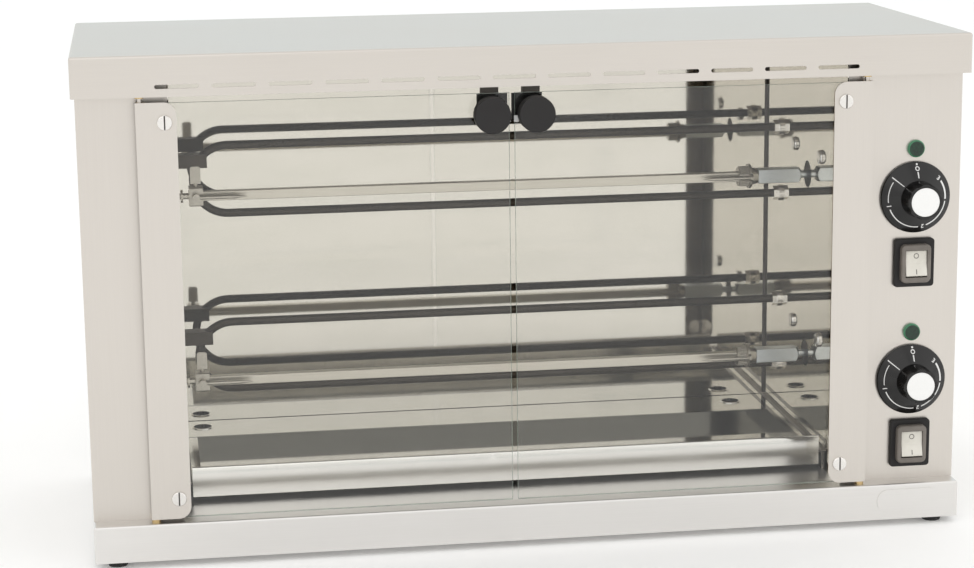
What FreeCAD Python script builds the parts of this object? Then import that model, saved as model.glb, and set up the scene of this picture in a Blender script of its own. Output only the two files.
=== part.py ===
"""Two-spit rotisserie oven with a pair of side-hinged glass doors.

Frame: millimetres, +X to the right seen from the front, +Y to the back, +Z up.
The origin is on the floor under the centre of the oven's box.
"""
import FreeCAD, Part
import math
import os

V = FreeCAD.Vector
X_AXIS = V(1, 0, 0)
Y_AXIS = V(0, 1, 0)
Z_AXIS = V(0, 0, 1)

# ---------------------------------------------------------------- driving dimensions
SHEET = 1.2                     # casing sheet
LINER = 1.0                     # chamber liner sheet
CUT = 1.0                       # how far a cutting tool runs past a face
FIT = 0.08                      # radial clearance of a pin or shaft in its bore

WIDTH = 1000.0                  # cover, the widest piece
HEIGHT = 570.0                  # floor to the top of the cover
COVER_FRONT, COVER_BACK = -186.0, 200.0
COVER_SKIRT_Z = 525.0           # lower edge of the cover's skirt
COVER_BEND = 3.0                # outside radius of the cover's folded edges
COVER_LIP = 17.5                # inward flange along the bottom of the front skirt

SLOT_COUNT, SLOT_PITCH = 13, 61.0
SLOT_LENGTH, SLOT_HEIGHT = 47.5, 4.5
SLOT_ROW_X, SLOT_ROW_Z = -20.7, 536.0

BODY_HALF = 496.0               # outer casing, half its width
BODY_FRONT, BODY_BACK = -167.0, 195.0
BODY_TOP = HEIGHT - SHEET       # casing flanges carry the cover from below
FRONT_DROP, REAR_DROP, FLANGE_DROP = 5.0, 6.0, 8.0      # how far each sheet ends below the cover
SIDE_FLANGE, TOP_FLANGE = 15.0, 20.0
PANEL_RETURN, CHAMBER_RETURN = 12.0, 16.0               # folded edges of the control panel
PANEL_EDGE_R = 1.0

CASE_SCREW_X, CASE_SCREW_Z = 487.5, (90.0, 290.0, 490.0)
COVER_SCREW_X, COVER_SCREW_Z = (150.0, 440.0), 544.0
CASE_SCREWS = ([(s * CASE_SCREW_X, z) for s in (-1, 1) for z in CASE_SCREW_Z]
               + [(s * x, COVER_SCREW_Z) for s in (-1, 1) for x in COVER_SCREW_X])
CASE_SCREW_HEAD_R, CASE_SCREW_HEAD_H, CASE_SCREW_R = 4.0, 2.2, 2.0
CASE_SCREW_HOLE_R = 2.1
CASE_SCREW_GRIP = 6.0           # thread behind the rear panel's outer face

SIDE_VENTS, SIDE_VENT_PITCH, SIDE_VENT_Z, SIDE_VENT_HEIGHT = 6, 14.0, 100.0, 4.0
SIDE_VENT_Y = (60.0, 120.0)
REAR_VENTS, REAR_VENT_PITCH, REAR_VENT_X = 9, 13.0, 390.0
REAR_VENT_ROWS, REAR_VENT_WIDTH, REAR_VENT_LENGTH = (250.0, 380.0), 4.5, 70.0

FOOT_HEIGHT, FOOT_TOP_R, FOOT_BASE_R = 8.0, 13.0, 10.5
FOOT_X, FOOT_FRONT_Y, FOOT_BACK_Y = 471.0, -170.0, 174.0
FOOT_EDGE_R, FOOT_STUD_R, FOOT_STUD_LENGTH = 1.2, 3.0, 6.5
FOOT_RECESS_R, FOOT_RECESS_DEPTH = 4.0, 3.0
BASE_FRONT, BASE_BACK = -190.0, 196.0
BASE_TOP = 50.0
BASE_BEND = 2.5
BASE_LIP = 32.0                 # inward flange under the base that the feet screw into

CHAMBER_LEFT, CHAMBER_RIGHT = -396.0, 361.5      # inside faces
CHAMBER_BACK = 180.0
CHAMBER_FLOOR = 45.0
CHAMBER_TOP = 563.0
CHAMBER_LEDGE = 2.0             # step from the casing's front face to the pressed floor

SPIT_Y = -10.0
SPIT_LEVELS = {"upper": 387.0, "lower": 167.0}
SPIT_BAR, SPIT_EDGE_R = 11.0, 0.8        # square bar: across its flats, and its edges
SPIT_LEFT_END = -375.0
JOURNAL_R, JOURNAL_END = 3.5, -393.0
COLLAR_R, COLLAR_LENGTH, COLLAR_X = 7.5, 2.5, -384.0
SOCKET_X = (299.5, 351.5)
SOCKET_SIDE, SOCKET_EDGE_R, SOCKET_DEPTH, SOCKET_TAPER = 17.0, 1.5, 28.0, 4.0
SHAFT_R, SHAFT_LENGTH = 4.2, 40.0
WALL_HOLE_R = 16.0
CRADLE_LENGTH, CRADLE_HALF, CRADLE_RISE, CRADLE_EDGE_R = 10.0, 10.0, 9.0, 3.0
CRADLE_PLATE, CRADLE_PLATE_HALF = 2.0, 16.0
CRADLE_PLATE_BELOW, CRADLE_PLATE_ABOVE = 24.0, 12.0
CRADLE_GAP = 0.3                # journal to the sides of its open slot

FORK_BORE_GAP = 0.4
LEFT_FORK_X, LEFT_HUB_WIDTH, LEFT_HUB_HEIGHT, LEFT_HUB_DEPTH, LEFT_HUB_EDGE_R = -366.5, 16.0, 22.0, 20.0, 2.0
RIGHT_HUB_START, RIGHT_HUB_END = 275.5, 299.0
RIGHT_HUB_R, RIGHT_RIB_R, RIGHT_RIBS, RIGHT_BARREL = 11.0, 1.0, 24, 12.0
RIGHT_FLANGE_R, RIGHT_FLANGE_THICK, RIGHT_NOSE_R = 14.5, 3.0, 9.0
PRONG_R, PRONG_LENGTH, PRONG_TIP, PRONG_TIP_R = 2.2, 58.0, 14.0, 0.5
PRONG_SPREAD = 14.5             # prong centre to the bar's axis
BOSS_R, BOSS_OVERHANG = 4.5, 1.3
THUMB_R, THUMB_GAP, THUMB_SEAT = 2.5, 3.0, 4.0
THUMB_WIDTH, THUMB_HEIGHT, THUMB_THICK, THUMB_CORNER_R = 12.0, 20.0, 3.0, 3.0

ELEMENT_Y = 113.0
ELEMENT_R = 5.0
ELEMENT_LEFT = -366.5
ELEMENT_LEVELS = {"upper": (344.0, 427.0), "lower": (126.0, 209.0)}
ELEMENT_END_X = 387.0           # cold ends inside the electrical compartment
ELEMENT_PIN_R, ELEMENT_PIN_LENGTH = 1.5, 14.0
GLAND_WASHER_R, GLAND_WASHER_THICK = 10.0, 3.5
GLAND_HEX, GLAND_HEX_LENGTH, GLAND_SLEEVE_R = 15.5, 6.0, 6.5
CLIP_RISE = 24.0                # element clip above the middle of its loop
CLIP_HALF_DEPTH, CLIP_HALF_HEIGHT, CLIP_REACH = 11.0, 8.0, 17.0
CLIP_FOOT, CLIP_FOOT_HALF_DEPTH, CLIP_FOOT_HALF_HEIGHT = 3.0, 15.0, 14.0

MOTOR_SCREW_Y, MOTOR_SCREW_RISE = (-67.0, 45.0), 29.0
MOTOR_SCREW_HEAD_R, MOTOR_SCREW_HEAD_H, MOTOR_SCREW_R, MOTOR_SCREW_LENGTH = 8.5, 4.0, 2.5, 5.0
MOTOR_HOLE_R = 2.6
MOTOR_PLATE_GAP, MOTOR_PLATE_THICK, MOTOR_PLATE_MARGIN = 20.0, 2.0, 10.0
MOTOR_PLATE_BELOW, MOTOR_PLATE_ABOVE, MOTOR_TAB_RISE = 40.0, 42.0, 10.0
GEARBOX_WIDTH, GEARBOX_HEIGHT, GEARBOX_DEPTH, GEARBOX_EDGE_R, GEARBOX_DROP = 60.0, 70.0, 26.0, 8.0, 8.0
CAN_R, CAN_LENGTH, CAN_DROP, CAN_EDGE_R = 26.0, 40.0, 14.0, 3.0

HINGE_Y = -178.0
LEFT_HINGE_X, RIGHT_HINGE_X = -427.0, 380.5
HINGE_TO_EDGE = 5.0             # hinge axis to the outer edge of the door plate
DOOR_PLATE_WIDTH, DOOR_PLATE_THICK = 44.0, 2.0
DOOR_PLATE_Z = (54.0, 519.0)
DOOR_FRONT = -185.0
DOOR_CORNER_R = 14.0
DOOR_EAR_REACH, DOOR_EAR_THICK, DOOR_CHEEK_THICK = 4.5, 2.0, 1.5
GLASS_THICK, GLASS_EDGE_R = 5.0, 0.6
GLASS_Z = (54.5, 518.0)
GLASS_INSET = 8.0               # hinge axis to the hinge-side edge of the glass
LEFT_GLASS_EDGE, RIGHT_GLASS_EDGE = -26.0, -20.0
CLAMP_SCREW_OFFSET = 26.0       # hinge axis to the clamp screws
CLAMP_SCREW_Z = (77.0, 497.0)
CLAMP_HEAD_R, CLAMP_HEAD_H, CLAMP_SHANK_R, CLAMP_SHANK_LENGTH = 8.5, 3.2, 3.0, 14.0
CLAMP_WASHER_R, CLAMP_WASHER_THICK, CLAMP_NUT, CLAMP_NUT_THICK = 10.0, 2.0, 10.0, 4.0
PIN_R, PIN_BELOW, PIN_ABOVE, PIN_ROOT = 2.5, 10.0, 8.0, 3.0
BUSH_R, BUSH_NECK_R, BUSH_NECK, BUSH_COLLAR, BUSH_GAP = 5.0, 4.0, 7.0, 1.6, 0.4

KNOB_R, KNOB_FRONT, KNOB_THICK, KNOB_EDGE_R = 20.0, -207.0, 15.0, 1.5
KNOB_Z = 496.0
KNOB_STEM_R, KNOB_STUD_R, KNOB_STUD_LENGTH = 8.0, 3.0, 10.0
KNOB_X = {"left": -47.5, "right": 1.5}
STRIKE_WIDTH, STRIKE_Z, STRIKE_THICK = 34.0, (488.0, 517.0), 1.5
STRIKE_FREE_EDGE = {"left": -27.5, "right": -23.0}
CATCH_WIDTH, CATCH_DEPTH, CATCH_HEIGHT, CATCH_EDGE_R, CATCH_GAP = 19.0, 12.0, 14.0, 1.0, 0.6
CATCH_FREE_EDGE = {"left": -37.0, "right": -10.0}

CONTROL_X = 442.5
CONTROL_PITCH = 213.3           # upper set of controls above the lower one
SET_DROPS = {"upper": 0.0, "lower": -CONTROL_PITCH}
PILOT_Z, DIAL_Z, SWITCH_Z = 438.4, 382.8, 307.1
PILOT_R, PILOT_DEPTH, PILOT_EDGE_R, PILOT_NECK_R = 10.0, 5.0, 2.5, 5.9
LAMP_R, LAMP_START, LAMP_LENGTH, LAMP_NUT, LAMP_NUT_THICK = 6.0, 2.0, 26.0, 17.0, 4.0
DIAL_R, DIAL_FRONT, DIAL_GAP = 41.0, -207.0, 1.0
DIAL_RIM_THICK, DIAL_HUB_R, DIAL_HUB_LENGTH = 3.0, 20.0, 24.0
DIAL_FLUTES, DIAL_FLUTE_R, DIAL_FLUTE_OFFSET = 8, 6.5, 25.0
DIAL_CAP_R, DIAL_CAP_THICK, DIAL_CAP_EDGE_R = 16.5, 2.0, 0.6
REGULATOR_SHAFT_R, REGULATOR_SHAFT_LENGTH = 3.0, 14.0
REGULATOR_HALF_WIDTH, REGULATOR_HALF_HEIGHT, REGULATOR_Y = 22.0, 26.0, (4.0, 40.0)
REGULATOR_NECK_R, PANEL_DIAL_HOLE_R = 4.9, 5.0
SWITCH_BASE = (47.0, 56.0, 6.0)         # width, height, stand-off from the panel
SWITCH_BASE_CORNER_R, SWITCH_BASE_EDGE_R = 4.0, 1.2
SWITCH_RING = (35.0, 44.5, 8.0)
SWITCH_RING_CORNER_R, SWITCH_RING_EDGE_R = 6.0, 2.5
SWITCH_BODY_HALF_WIDTH, SWITCH_BODY_HALF_HEIGHT, SWITCH_BODY_DEPTH = 13.5, 17.5, 26.0
SWITCH_CUTOUT_HALF_WIDTH, SWITCH_CUTOUT_HALF_HEIGHT = 14.0, 18.0
SWITCH_WINDOW_GAP, SWITCH_WINDOW_DEPTH = 0.5, 8.0
ROCKER_WIDTH, ROCKER_R, ROCKER_TILT = 24.4, 15.3, 8.0
ROCKER_PIVOT, ROCKER_HALF_HEIGHT, ROCKER_DISH, ROCKER_BACK = 6.0, 14.2, 1.4, 9.0

TRAY_X = (-384.0, 356.0)
TRAY_FRONT_Y, TRAY_WELL_BACK_Y, TRAY_BACK_Y = -95.0, 103.0, 178.0
TRAY_FLOOR_Z, TRAY_RIM_Z, TRAY_FRONT_Z = 51.0, 68.0, 86.0
TRAY_FLANGE = 10.0
TRAY_HEM_R = 2.5
TRAY_HOLES_X, TRAY_HOLE_Y, TRAY_HOLE_R = (-365.0, 309.0), 148.0, 11.0
TRAY_COLLAR_WALL, TRAY_COLLAR_DEPTH, TRAY_COLLAR_RISE = 1.6, 4.0, 1.2
TRAY_TILE_HALF = 16.0           # square of shelf around each finger hole
RAIL_FRONT_Y = TRAY_FRONT_Y + 2.0       # the rails start just behind the tray's front wall
RAIL_WEB, RAIL_LIP, RAIL_CLEARANCE = 1.5, 1.5, 4.0

TERMINAL_HALF_WIDTH, TERMINAL_Y, TERMINAL_HEIGHT = 30.0, (120.0, 145.0), 22.0
TERMINAL_WAYS, TERMINAL_PITCH, TERMINAL_HOLE_R = 5, 12.0, 3.0
TERMINAL_HOLE_DEPTH, TERMINAL_GROOVE, TERMINAL_GROOVE_DEPTH = 8.0, 2.0, 10.0
GLAND_X, GLAND_Z, GLAND_END = 442.5, 110.0, 207.0
GLAND_NUT, GLAND_NUT_THICK, GLAND_LOCK_THICK = 22.0, 6.0, 4.0
GLAND_DOME_R, GLAND_TIP_R, GLAND_THREAD_R, GLAND_THREAD_LENGTH, GLAND_BORE_R = 10.5, 7.5, 8.0, 10.0, 4.5
BADGE_X, BADGE_Z, BADGE_WIDTH, BADGE_HEIGHT, BADGE_THICK = 436.5, 30.0, 75.0, 28.0, 1.0

parts = {}


# ---------------------------------------------------------------- helpers
def box(x0, x1, y0, y1, z0, z1):
    return Part.makeBox(x1 - x0, y1 - y0, z1 - z0, V(x0, y0, z0))


def rod(start, axis, radius, length):
    return Part.makeCylinder(radius, length, V(*start), axis)


def cone(start, axis, r0, r1, length):
    return Part.makeCone(r0, r1, length, V(*start), axis)


def fuse(*shapes):
    return shapes[0].multiFuse(list(shapes[1:])).removeSplitter()


def group(*shapes):
    return Part.makeCompound(list(shapes))


def fillet(shape, radius, test):
    """Round every straight or curved edge whose midpoint and direction pass the test."""
    chosen = []
    for edge in shape.Edges:
        first, last = edge.ParameterRange
        middle = edge.valueAt((first + last) / 2)
        along = edge.tangentAt((first + last) / 2)
        if test(middle, along):
            chosen.append(edge)
    return shape.makeFillet(radius, chosen)


def slot_x(cx, cz, length, height, y0, y1):
    """A round-ended slot along X, cut from y0 to y1."""
    r = height / 2
    half = length / 2 - r
    bar = box(cx - half, cx + half, y0, y1, cz - r, cz + r)
    ends = [rod((cx + s * half, y0, cz), Y_AXIS, r, y1 - y0) for s in (-1, 1)]
    return fuse(bar, *ends)


def slot_z(cx, cz, width, height, y0, y1):
    """A round-ended slot along Z, cut from y0 to y1."""
    r = width / 2
    half = height / 2 - r
    bar = box(cx - r, cx + r, y0, y1, cz - half, cz + half)
    ends = [rod((cx, y0, cz + s * half), Y_AXIS, r, y1 - y0) for s in (-1, 1)]
    return fuse(bar, *ends)


def rounded_block(cx, cz, width, height, y0, y1, corner):
    """A block along Y whose four long edges are rounded."""
    block = box(cx - width / 2, cx + width / 2, y0, y1, cz - height / 2, cz + height / 2)
    return fillet(block, corner, lambda m, t: abs(t.y) > 0.9)


def hexagon(start, axis, across_flats, length):
    """A hexagonal prism along X or Y."""
    side_r = across_flats / math.sqrt(3)
    points = []
    for k in range(7):
        a = math.radians(60 * k + 30)
        c, s = side_r * math.cos(a), side_r * math.sin(a)
        points.append(V(*start) + (V(0, c, s) if axis == X_AXIS else V(c, 0, s)))
    return Part.Face(Part.makePolygon(points)).extrude(axis * length)


def pan_head(x, y, z, direction, radius, height, shank_r, shank):
    """A domed, slotted screw head on a shank; direction points out of the head."""
    slot_half = 0.1 * radius
    slot_floor = 0.5 * height
    dome = rod((x, y, z), direction, radius, height)
    dome = fillet(dome, height * 0.7, lambda m, t: (m - V(x, y, z)).dot(direction) > height * 0.9)
    stem = rod((x, y, z), direction * -1, shank_r, shank)
    across = direction.cross(Z_AXIS)
    near = V(x, y, z) + direction * slot_floor - Z_AXIS * radius - across * slot_half
    far = V(x, y, z) + direction * (height + CUT) + Z_AXIS * radius + across * slot_half
    slot = box(min(near.x, far.x), max(near.x, far.x), min(near.y, far.y), max(near.y, far.y), near.z, far.z)
    return fuse(dome, stem).cut(slot)


# ---------------------------------------------------------------- cover
def make_cover():
    half = WIDTH / 2
    outer = box(-half, half, COVER_FRONT, COVER_BACK, COVER_SKIRT_Z, HEIGHT)
    outer = fillet(outer, COVER_BEND, lambda m, t: m.z > HEIGHT - 0.1 or abs(t.z) > 0.9)
    inner = box(-half + SHEET, half - SHEET, COVER_FRONT + SHEET, COVER_BACK - SHEET,
                COVER_SKIRT_Z - CUT, HEIGHT - SHEET)
    inner = fillet(inner, COVER_BEND - SHEET, lambda m, t: m.z > HEIGHT - SHEET - 0.1 or abs(t.z) > 0.9)
    lip = box(-half + SHEET, half - SHEET, COVER_FRONT + SHEET / 2, COVER_FRONT + COVER_LIP,
              COVER_SKIRT_Z, COVER_SKIRT_Z + SHEET)
    cover = fuse(outer.cut(inner), lip)
    for k in range(SLOT_COUNT):
        cx = SLOT_ROW_X + (k - (SLOT_COUNT - 1) / 2) * SLOT_PITCH
        cover = cover.cut(slot_x(cx, SLOT_ROW_Z, SLOT_LENGTH, SLOT_HEIGHT,
                                 COVER_FRONT - CUT, COVER_FRONT + COVER_BEND))
    for hinge_x in (LEFT_HINGE_X, RIGHT_HINGE_X):
        cover = cover.cut(rod((hinge_x, HINGE_Y, COVER_SKIRT_Z - CUT), Z_AXIS, BUSH_NECK_R, SHEET + 2 * CUT))
    for x, z in CASE_SCREWS:
        if z > COVER_SKIRT_Z:
            cover = cover.cut(rod((x, COVER_BACK - SHEET - CUT, z), Y_AXIS, CASE_SCREW_HOLE_R, SHEET + 2 * CUT))
    parts["top_cover"] = cover


# ---------------------------------------------------------------- base
def make_base():
    outer = box(-BODY_HALF, BODY_HALF, BASE_FRONT, BASE_BACK, FOOT_HEIGHT, BASE_TOP)
    outer = fillet(outer, BASE_BEND, lambda m, t: m.z > BASE_TOP - 0.1 or abs(t.z) > 0.9)
    inner = box(-BODY_HALF + SHEET, BODY_HALF - SHEET, BASE_FRONT + SHEET, BASE_BACK - SHEET,
                FOOT_HEIGHT + SHEET, BASE_TOP - SHEET)
    mouth = box(-BODY_HALF + BASE_LIP, BODY_HALF - BASE_LIP, BASE_FRONT + BASE_LIP,
                BASE_BACK - BASE_LIP, FOOT_HEIGHT - CUT, FOOT_HEIGHT + 2 * SHEET)
    base = outer.cut(inner).cut(mouth)
    # the chamber floor is pressed down a step below the ledge
    x0, x1 = CHAMBER_LEFT - LINER, CHAMBER_RIGHT + LINER
    y0, y1 = BODY_FRONT + CHAMBER_LEDGE, CHAMBER_BACK + LINER
    well = box(x0 - SHEET, x1 + SHEET, y0 - SHEET, y1 + SHEET, CHAMBER_FLOOR - SHEET, BASE_TOP - SHEET / 2)
    base = fuse(base, well).cut(box(x0, x1, y0, y1, CHAMBER_FLOOR, BASE_TOP + CUT))
    for hinge_x in (LEFT_HINGE_X, RIGHT_HINGE_X):
        base = base.cut(rod((hinge_x, HINGE_Y, BASE_TOP - SHEET - CUT), Z_AXIS, BUSH_NECK_R, SHEET + 2 * CUT))
    for sx in (-1, 1):
        for y in (FOOT_FRONT_Y, FOOT_BACK_Y):
            base = base.cut(rod((sx * FOOT_X, y, FOOT_HEIGHT - CUT), Z_AXIS, FOOT_STUD_R, SHEET + 2 * CUT))
    parts["base_plinth"] = base


def make_feet():
    feet = []
    for sx in (-1, 1):
        for y in (FOOT_FRONT_Y, FOOT_BACK_Y):
            pad = cone((sx * FOOT_X, y, 0), Z_AXIS, FOOT_BASE_R, FOOT_TOP_R, FOOT_HEIGHT)
            pad = fillet(pad, FOOT_EDGE_R, lambda m, t: m.z < 0.1)
            stud = rod((sx * FOOT_X, y, FOOT_HEIGHT - SHEET / 2), Z_AXIS, FOOT_STUD_R, FOOT_STUD_LENGTH)
            recess = rod((sx * FOOT_X, y, -CUT), Z_AXIS, FOOT_RECESS_R, FOOT_RECESS_DEPTH + CUT)
            feet.append(fuse(pad, stud).cut(recess))
    parts["rubber_feet"] = group(*feet)


# ---------------------------------------------------------------- outer casing
def cut_screw_holes(panel):
    """Clear the screws that hold the rear panel and the cover, at the back of the casing."""
    depth = CASE_SCREW_GRIP + 2 * CUT
    for x, z in CASE_SCREWS:
        panel = panel.cut(rod((x, BODY_BACK + CUT - depth, z), Y_AXIS, CASE_SCREW_HOLE_R, depth))
    return panel


def round_front_edge(panel, x):
    """Round the folded front corner of a casing sheet."""
    return fillet(panel, PANEL_EDGE_R,
                  lambda m, t: abs(t.z) > 0.9 and abs(m.x - x) < 0.1 and m.y < BODY_FRONT + 0.1)


def make_casing():
    t = SHEET
    back = BODY_BACK - t
    left = fuse(
        box(-BODY_HALF, -BODY_HALF + t, BODY_FRONT, back, BASE_TOP, BODY_TOP),
        box(-BODY_HALF, CHAMBER_LEFT - LINER, BODY_FRONT, BODY_FRONT + t, BASE_TOP, BODY_TOP - FRONT_DROP),
        box(-BODY_HALF, -BODY_HALF + SIDE_FLANGE, back - t, back, BASE_TOP, BODY_TOP - FLANGE_DROP),
        box(-BODY_HALF, -BODY_HALF + TOP_FLANGE, BODY_FRONT, back, BODY_TOP - t, BODY_TOP))
    parts["left_outer_panel"] = cut_screw_holes(round_front_edge(left, -BODY_HALF))

    right = fuse(
        box(BODY_HALF - t, BODY_HALF, BODY_FRONT + t, back, BASE_TOP, BODY_TOP),
        box(BODY_HALF - SIDE_FLANGE, BODY_HALF, back - t, back, BASE_TOP, BODY_TOP - FLANGE_DROP),
        box(BODY_HALF - TOP_FLANGE, BODY_HALF, BODY_FRONT + t, back, BODY_TOP - t, BODY_TOP))
    for k in range(SIDE_VENTS):
        z = SIDE_VENT_Z + SIDE_VENT_PITCH * k
        right = right.cut(box(BODY_HALF - 2 * t, BODY_HALF + CUT, *SIDE_VENT_Y, z, z + SIDE_VENT_HEIGHT))
    parts["right_outer_panel"] = cut_screw_holes(right)

    front = fuse(
        box(CHAMBER_RIGHT + LINER, BODY_HALF, BODY_FRONT, BODY_FRONT + t, BASE_TOP, BODY_TOP - FRONT_DROP),
        box(CHAMBER_RIGHT + LINER, CHAMBER_RIGHT + LINER + t, BODY_FRONT, BODY_FRONT + CHAMBER_RETURN,
            BASE_TOP, BODY_TOP - FRONT_DROP),
        box(BODY_HALF - 2 * t, BODY_HALF - t, BODY_FRONT, BODY_FRONT + PANEL_RETURN,
            BASE_TOP, BODY_TOP - FRONT_DROP))
    front = round_front_edge(front, BODY_HALF)
    y0, y1 = BODY_FRONT - CUT, BODY_FRONT + t + CUT
    for drop in SET_DROPS.values():
        front = front.cut(rod((CONTROL_X, y0, PILOT_Z + drop), Y_AXIS, LAMP_R, y1 - y0))
        front = front.cut(rod((CONTROL_X, y0, DIAL_Z + drop), Y_AXIS, PANEL_DIAL_HOLE_R, y1 - y0))
        z = SWITCH_Z + drop
        front = front.cut(box(CONTROL_X - SWITCH_CUTOUT_HALF_WIDTH, CONTROL_X + SWITCH_CUTOUT_HALF_WIDTH, y0, y1,
                              z - SWITCH_CUTOUT_HALF_HEIGHT, z + SWITCH_CUTOUT_HALF_HEIGHT))
    parts["control_panel"] = front

    rear = box(-BODY_HALF, BODY_HALF, BODY_BACK - t, BODY_BACK, BASE_TOP, BODY_TOP - REAR_DROP)
    y0, y1 = BODY_BACK - t - CUT, BODY_BACK + CUT
    for row in REAR_VENT_ROWS:
        for k in range(REAR_VENTS):
            rear = rear.cut(slot_z(REAR_VENT_X + REAR_VENT_PITCH * k, row, REAR_VENT_WIDTH,
                                   REAR_VENT_LENGTH, y0, y1))
    rear = rear.cut(rod((GLAND_X, y0, GLAND_Z), Y_AXIS, GLAND_THREAD_R, y1 - y0))
    parts["rear_panel"] = cut_screw_holes(rear)


def make_case_screws():
    screws = []
    for x, z in CASE_SCREWS:
        face = COVER_BACK if z > COVER_SKIRT_Z else BODY_BACK
        screws.append(pan_head(x, face, z, Y_AXIS, CASE_SCREW_HEAD_R, CASE_SCREW_HEAD_H,
                               CASE_SCREW_R, face - BODY_BACK + CASE_SCREW_GRIP))
    parts["case_screws"] = group(*screws)


# ---------------------------------------------------------------- chamber liner
def side_wall(x):
    """One side of the liner, from its inner face's lower X; its front strip stands on the ledge."""
    return fuse(
        box(x, x + LINER, BODY_FRONT + CHAMBER_LEDGE, CHAMBER_BACK + LINER, CHAMBER_FLOOR, CHAMBER_TOP),
        box(x, x + LINER, BODY_FRONT, BODY_FRONT + CHAMBER_LEDGE, BASE_TOP, CHAMBER_TOP))


def make_chamber():
    parts["chamber_left_wall"] = side_wall(CHAMBER_LEFT - LINER)
    right = side_wall(CHAMBER_RIGHT)
    start, depth = CHAMBER_RIGHT - CUT, LINER + 2 * CUT
    for level in SPIT_LEVELS.values():
        right = right.cut(rod((start, SPIT_Y, level), X_AXIS, WALL_HOLE_R, depth))
        for y in MOTOR_SCREW_Y:
            right = right.cut(rod((start, y, level + MOTOR_SCREW_RISE), X_AXIS, MOTOR_HOLE_R, depth))
    for heights in ELEMENT_LEVELS.values():
        for z in heights:
            right = right.cut(rod((start, ELEMENT_Y, z), X_AXIS, GLAND_SLEEVE_R, depth))
    parts["chamber_right_wall"] = right
    parts["chamber_back_wall"] = box(CHAMBER_LEFT, CHAMBER_RIGHT, CHAMBER_BACK, CHAMBER_BACK + LINER,
                                     CHAMBER_FLOOR, CHAMBER_TOP)


# ---------------------------------------------------------------- heating
def element_tube(low, high):
    """A hairpin of tube lying in a plane of constant Y."""
    bend = (high - low) / 2
    centre_x = ELEMENT_LEFT + bend
    path = Part.Wire([
        Part.makeLine(V(ELEMENT_END_X, ELEMENT_Y, low), V(centre_x, ELEMENT_Y, low)),
        Part.Arc(V(centre_x, ELEMENT_Y, low), V(ELEMENT_LEFT, ELEMENT_Y, low + bend),
                 V(centre_x, ELEMENT_Y, high)).toShape(),
        Part.makeLine(V(centre_x, ELEMENT_Y, high), V(ELEMENT_END_X, ELEMENT_Y, high))])
    section = Part.Wire(Part.makeCircle(ELEMENT_R, V(ELEMENT_END_X, ELEMENT_Y, low), X_AXIS))
    return path.makePipeShell([section], True, False)


def element_gland(z):
    """Hex gland with its washer inside the chamber, a sleeve through the wall and a lock nut behind."""
    inner_face = CHAMBER_RIGHT - GLAND_WASHER_THICK
    outer_face = CHAMBER_RIGHT + LINER
    gland = fuse(
        hexagon((inner_face - GLAND_HEX_LENGTH, ELEMENT_Y, z), X_AXIS, GLAND_HEX, GLAND_HEX_LENGTH),
        rod((inner_face, ELEMENT_Y, z), X_AXIS, GLAND_WASHER_R, GLAND_WASHER_THICK),
        rod((CHAMBER_RIGHT, ELEMENT_Y, z), X_AXIS, GLAND_SLEEVE_R, LINER),
        hexagon((outer_face, ELEMENT_Y, z), X_AXIS, GLAND_HEX, GLAND_HEX_LENGTH))
    start = inner_face - GLAND_HEX_LENGTH - CUT
    return gland.cut(rod((start, ELEMENT_Y, z), X_AXIS, ELEMENT_R, outer_face + GLAND_HEX_LENGTH + CUT - start))


def element_clip(middle, tube):
    """Block on the left wall that the hairpin's bend passes through."""
    block = box(CHAMBER_LEFT, ELEMENT_LEFT + CLIP_REACH, ELEMENT_Y - CLIP_HALF_DEPTH, ELEMENT_Y + CLIP_HALF_DEPTH,
                middle - CLIP_HALF_HEIGHT, middle + CLIP_HALF_HEIGHT)
    foot = box(CHAMBER_LEFT, CHAMBER_LEFT + CLIP_FOOT, ELEMENT_Y - CLIP_FOOT_HALF_DEPTH,
               ELEMENT_Y + CLIP_FOOT_HALF_DEPTH, middle - CLIP_FOOT_HALF_HEIGHT, middle + CLIP_FOOT_HALF_HEIGHT)
    return fuse(block, foot).cut(tube)


def make_elements():
    nuts = []
    clips = []
    for name, (low, high) in ELEMENT_LEVELS.items():
        tube = element_tube(low, high)
        pins = [rod((ELEMENT_END_X, ELEMENT_Y, z), X_AXIS, ELEMENT_PIN_R, ELEMENT_PIN_LENGTH) for z in (low, high)]
        parts[name + "_heating_element"] = fuse(tube, *pins)
        nuts += [element_gland(z) for z in (low, high)]
        clips.append(element_clip((low + high) / 2 + CLIP_RISE, tube))
    parts["element_nuts"] = group(*nuts)
    parts["element_brackets"] = group(*clips)


# ---------------------------------------------------------------- spits and forks
def prong(x, y, level, point):
    """A round prong with a sharpened end; point is +1 or -1, the way it faces along X."""
    straight = PRONG_LENGTH - PRONG_TIP
    shaft = rod((x, y, level), X_AXIS * point, PRONG_R, straight)
    tip = cone((x + point * straight, y, level), X_AXIS * point, PRONG_R, PRONG_TIP_R, PRONG_TIP)
    return [shaft, tip]


def bar_cutter(x0, x1, level):
    half = SPIT_BAR / 2 + FORK_BORE_GAP
    return box(x0 - CUT, x1 + CUT, SPIT_Y - half, SPIT_Y + half, level - half, level + half)


def thumb_screw(x, level, top):
    """A spade-headed screw that stands up from a fork's hub and bears on the bar."""
    blade_z = top + THUMB_GAP
    stem = rod((x, SPIT_Y, top - THUMB_SEAT), Z_AXIS, THUMB_R, THUMB_SEAT + THUMB_GAP + CUT)
    blade = box(x - THUMB_WIDTH / 2, x + THUMB_WIDTH / 2, SPIT_Y - THUMB_THICK / 2, SPIT_Y + THUMB_THICK / 2,
                blade_z, blade_z + THUMB_HEIGHT)
    blade = fillet(blade, THUMB_CORNER_R, lambda m, t: abs(t.y) > 0.9 and m.z > blade_z + 1)
    return fuse(stem, blade)


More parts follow.
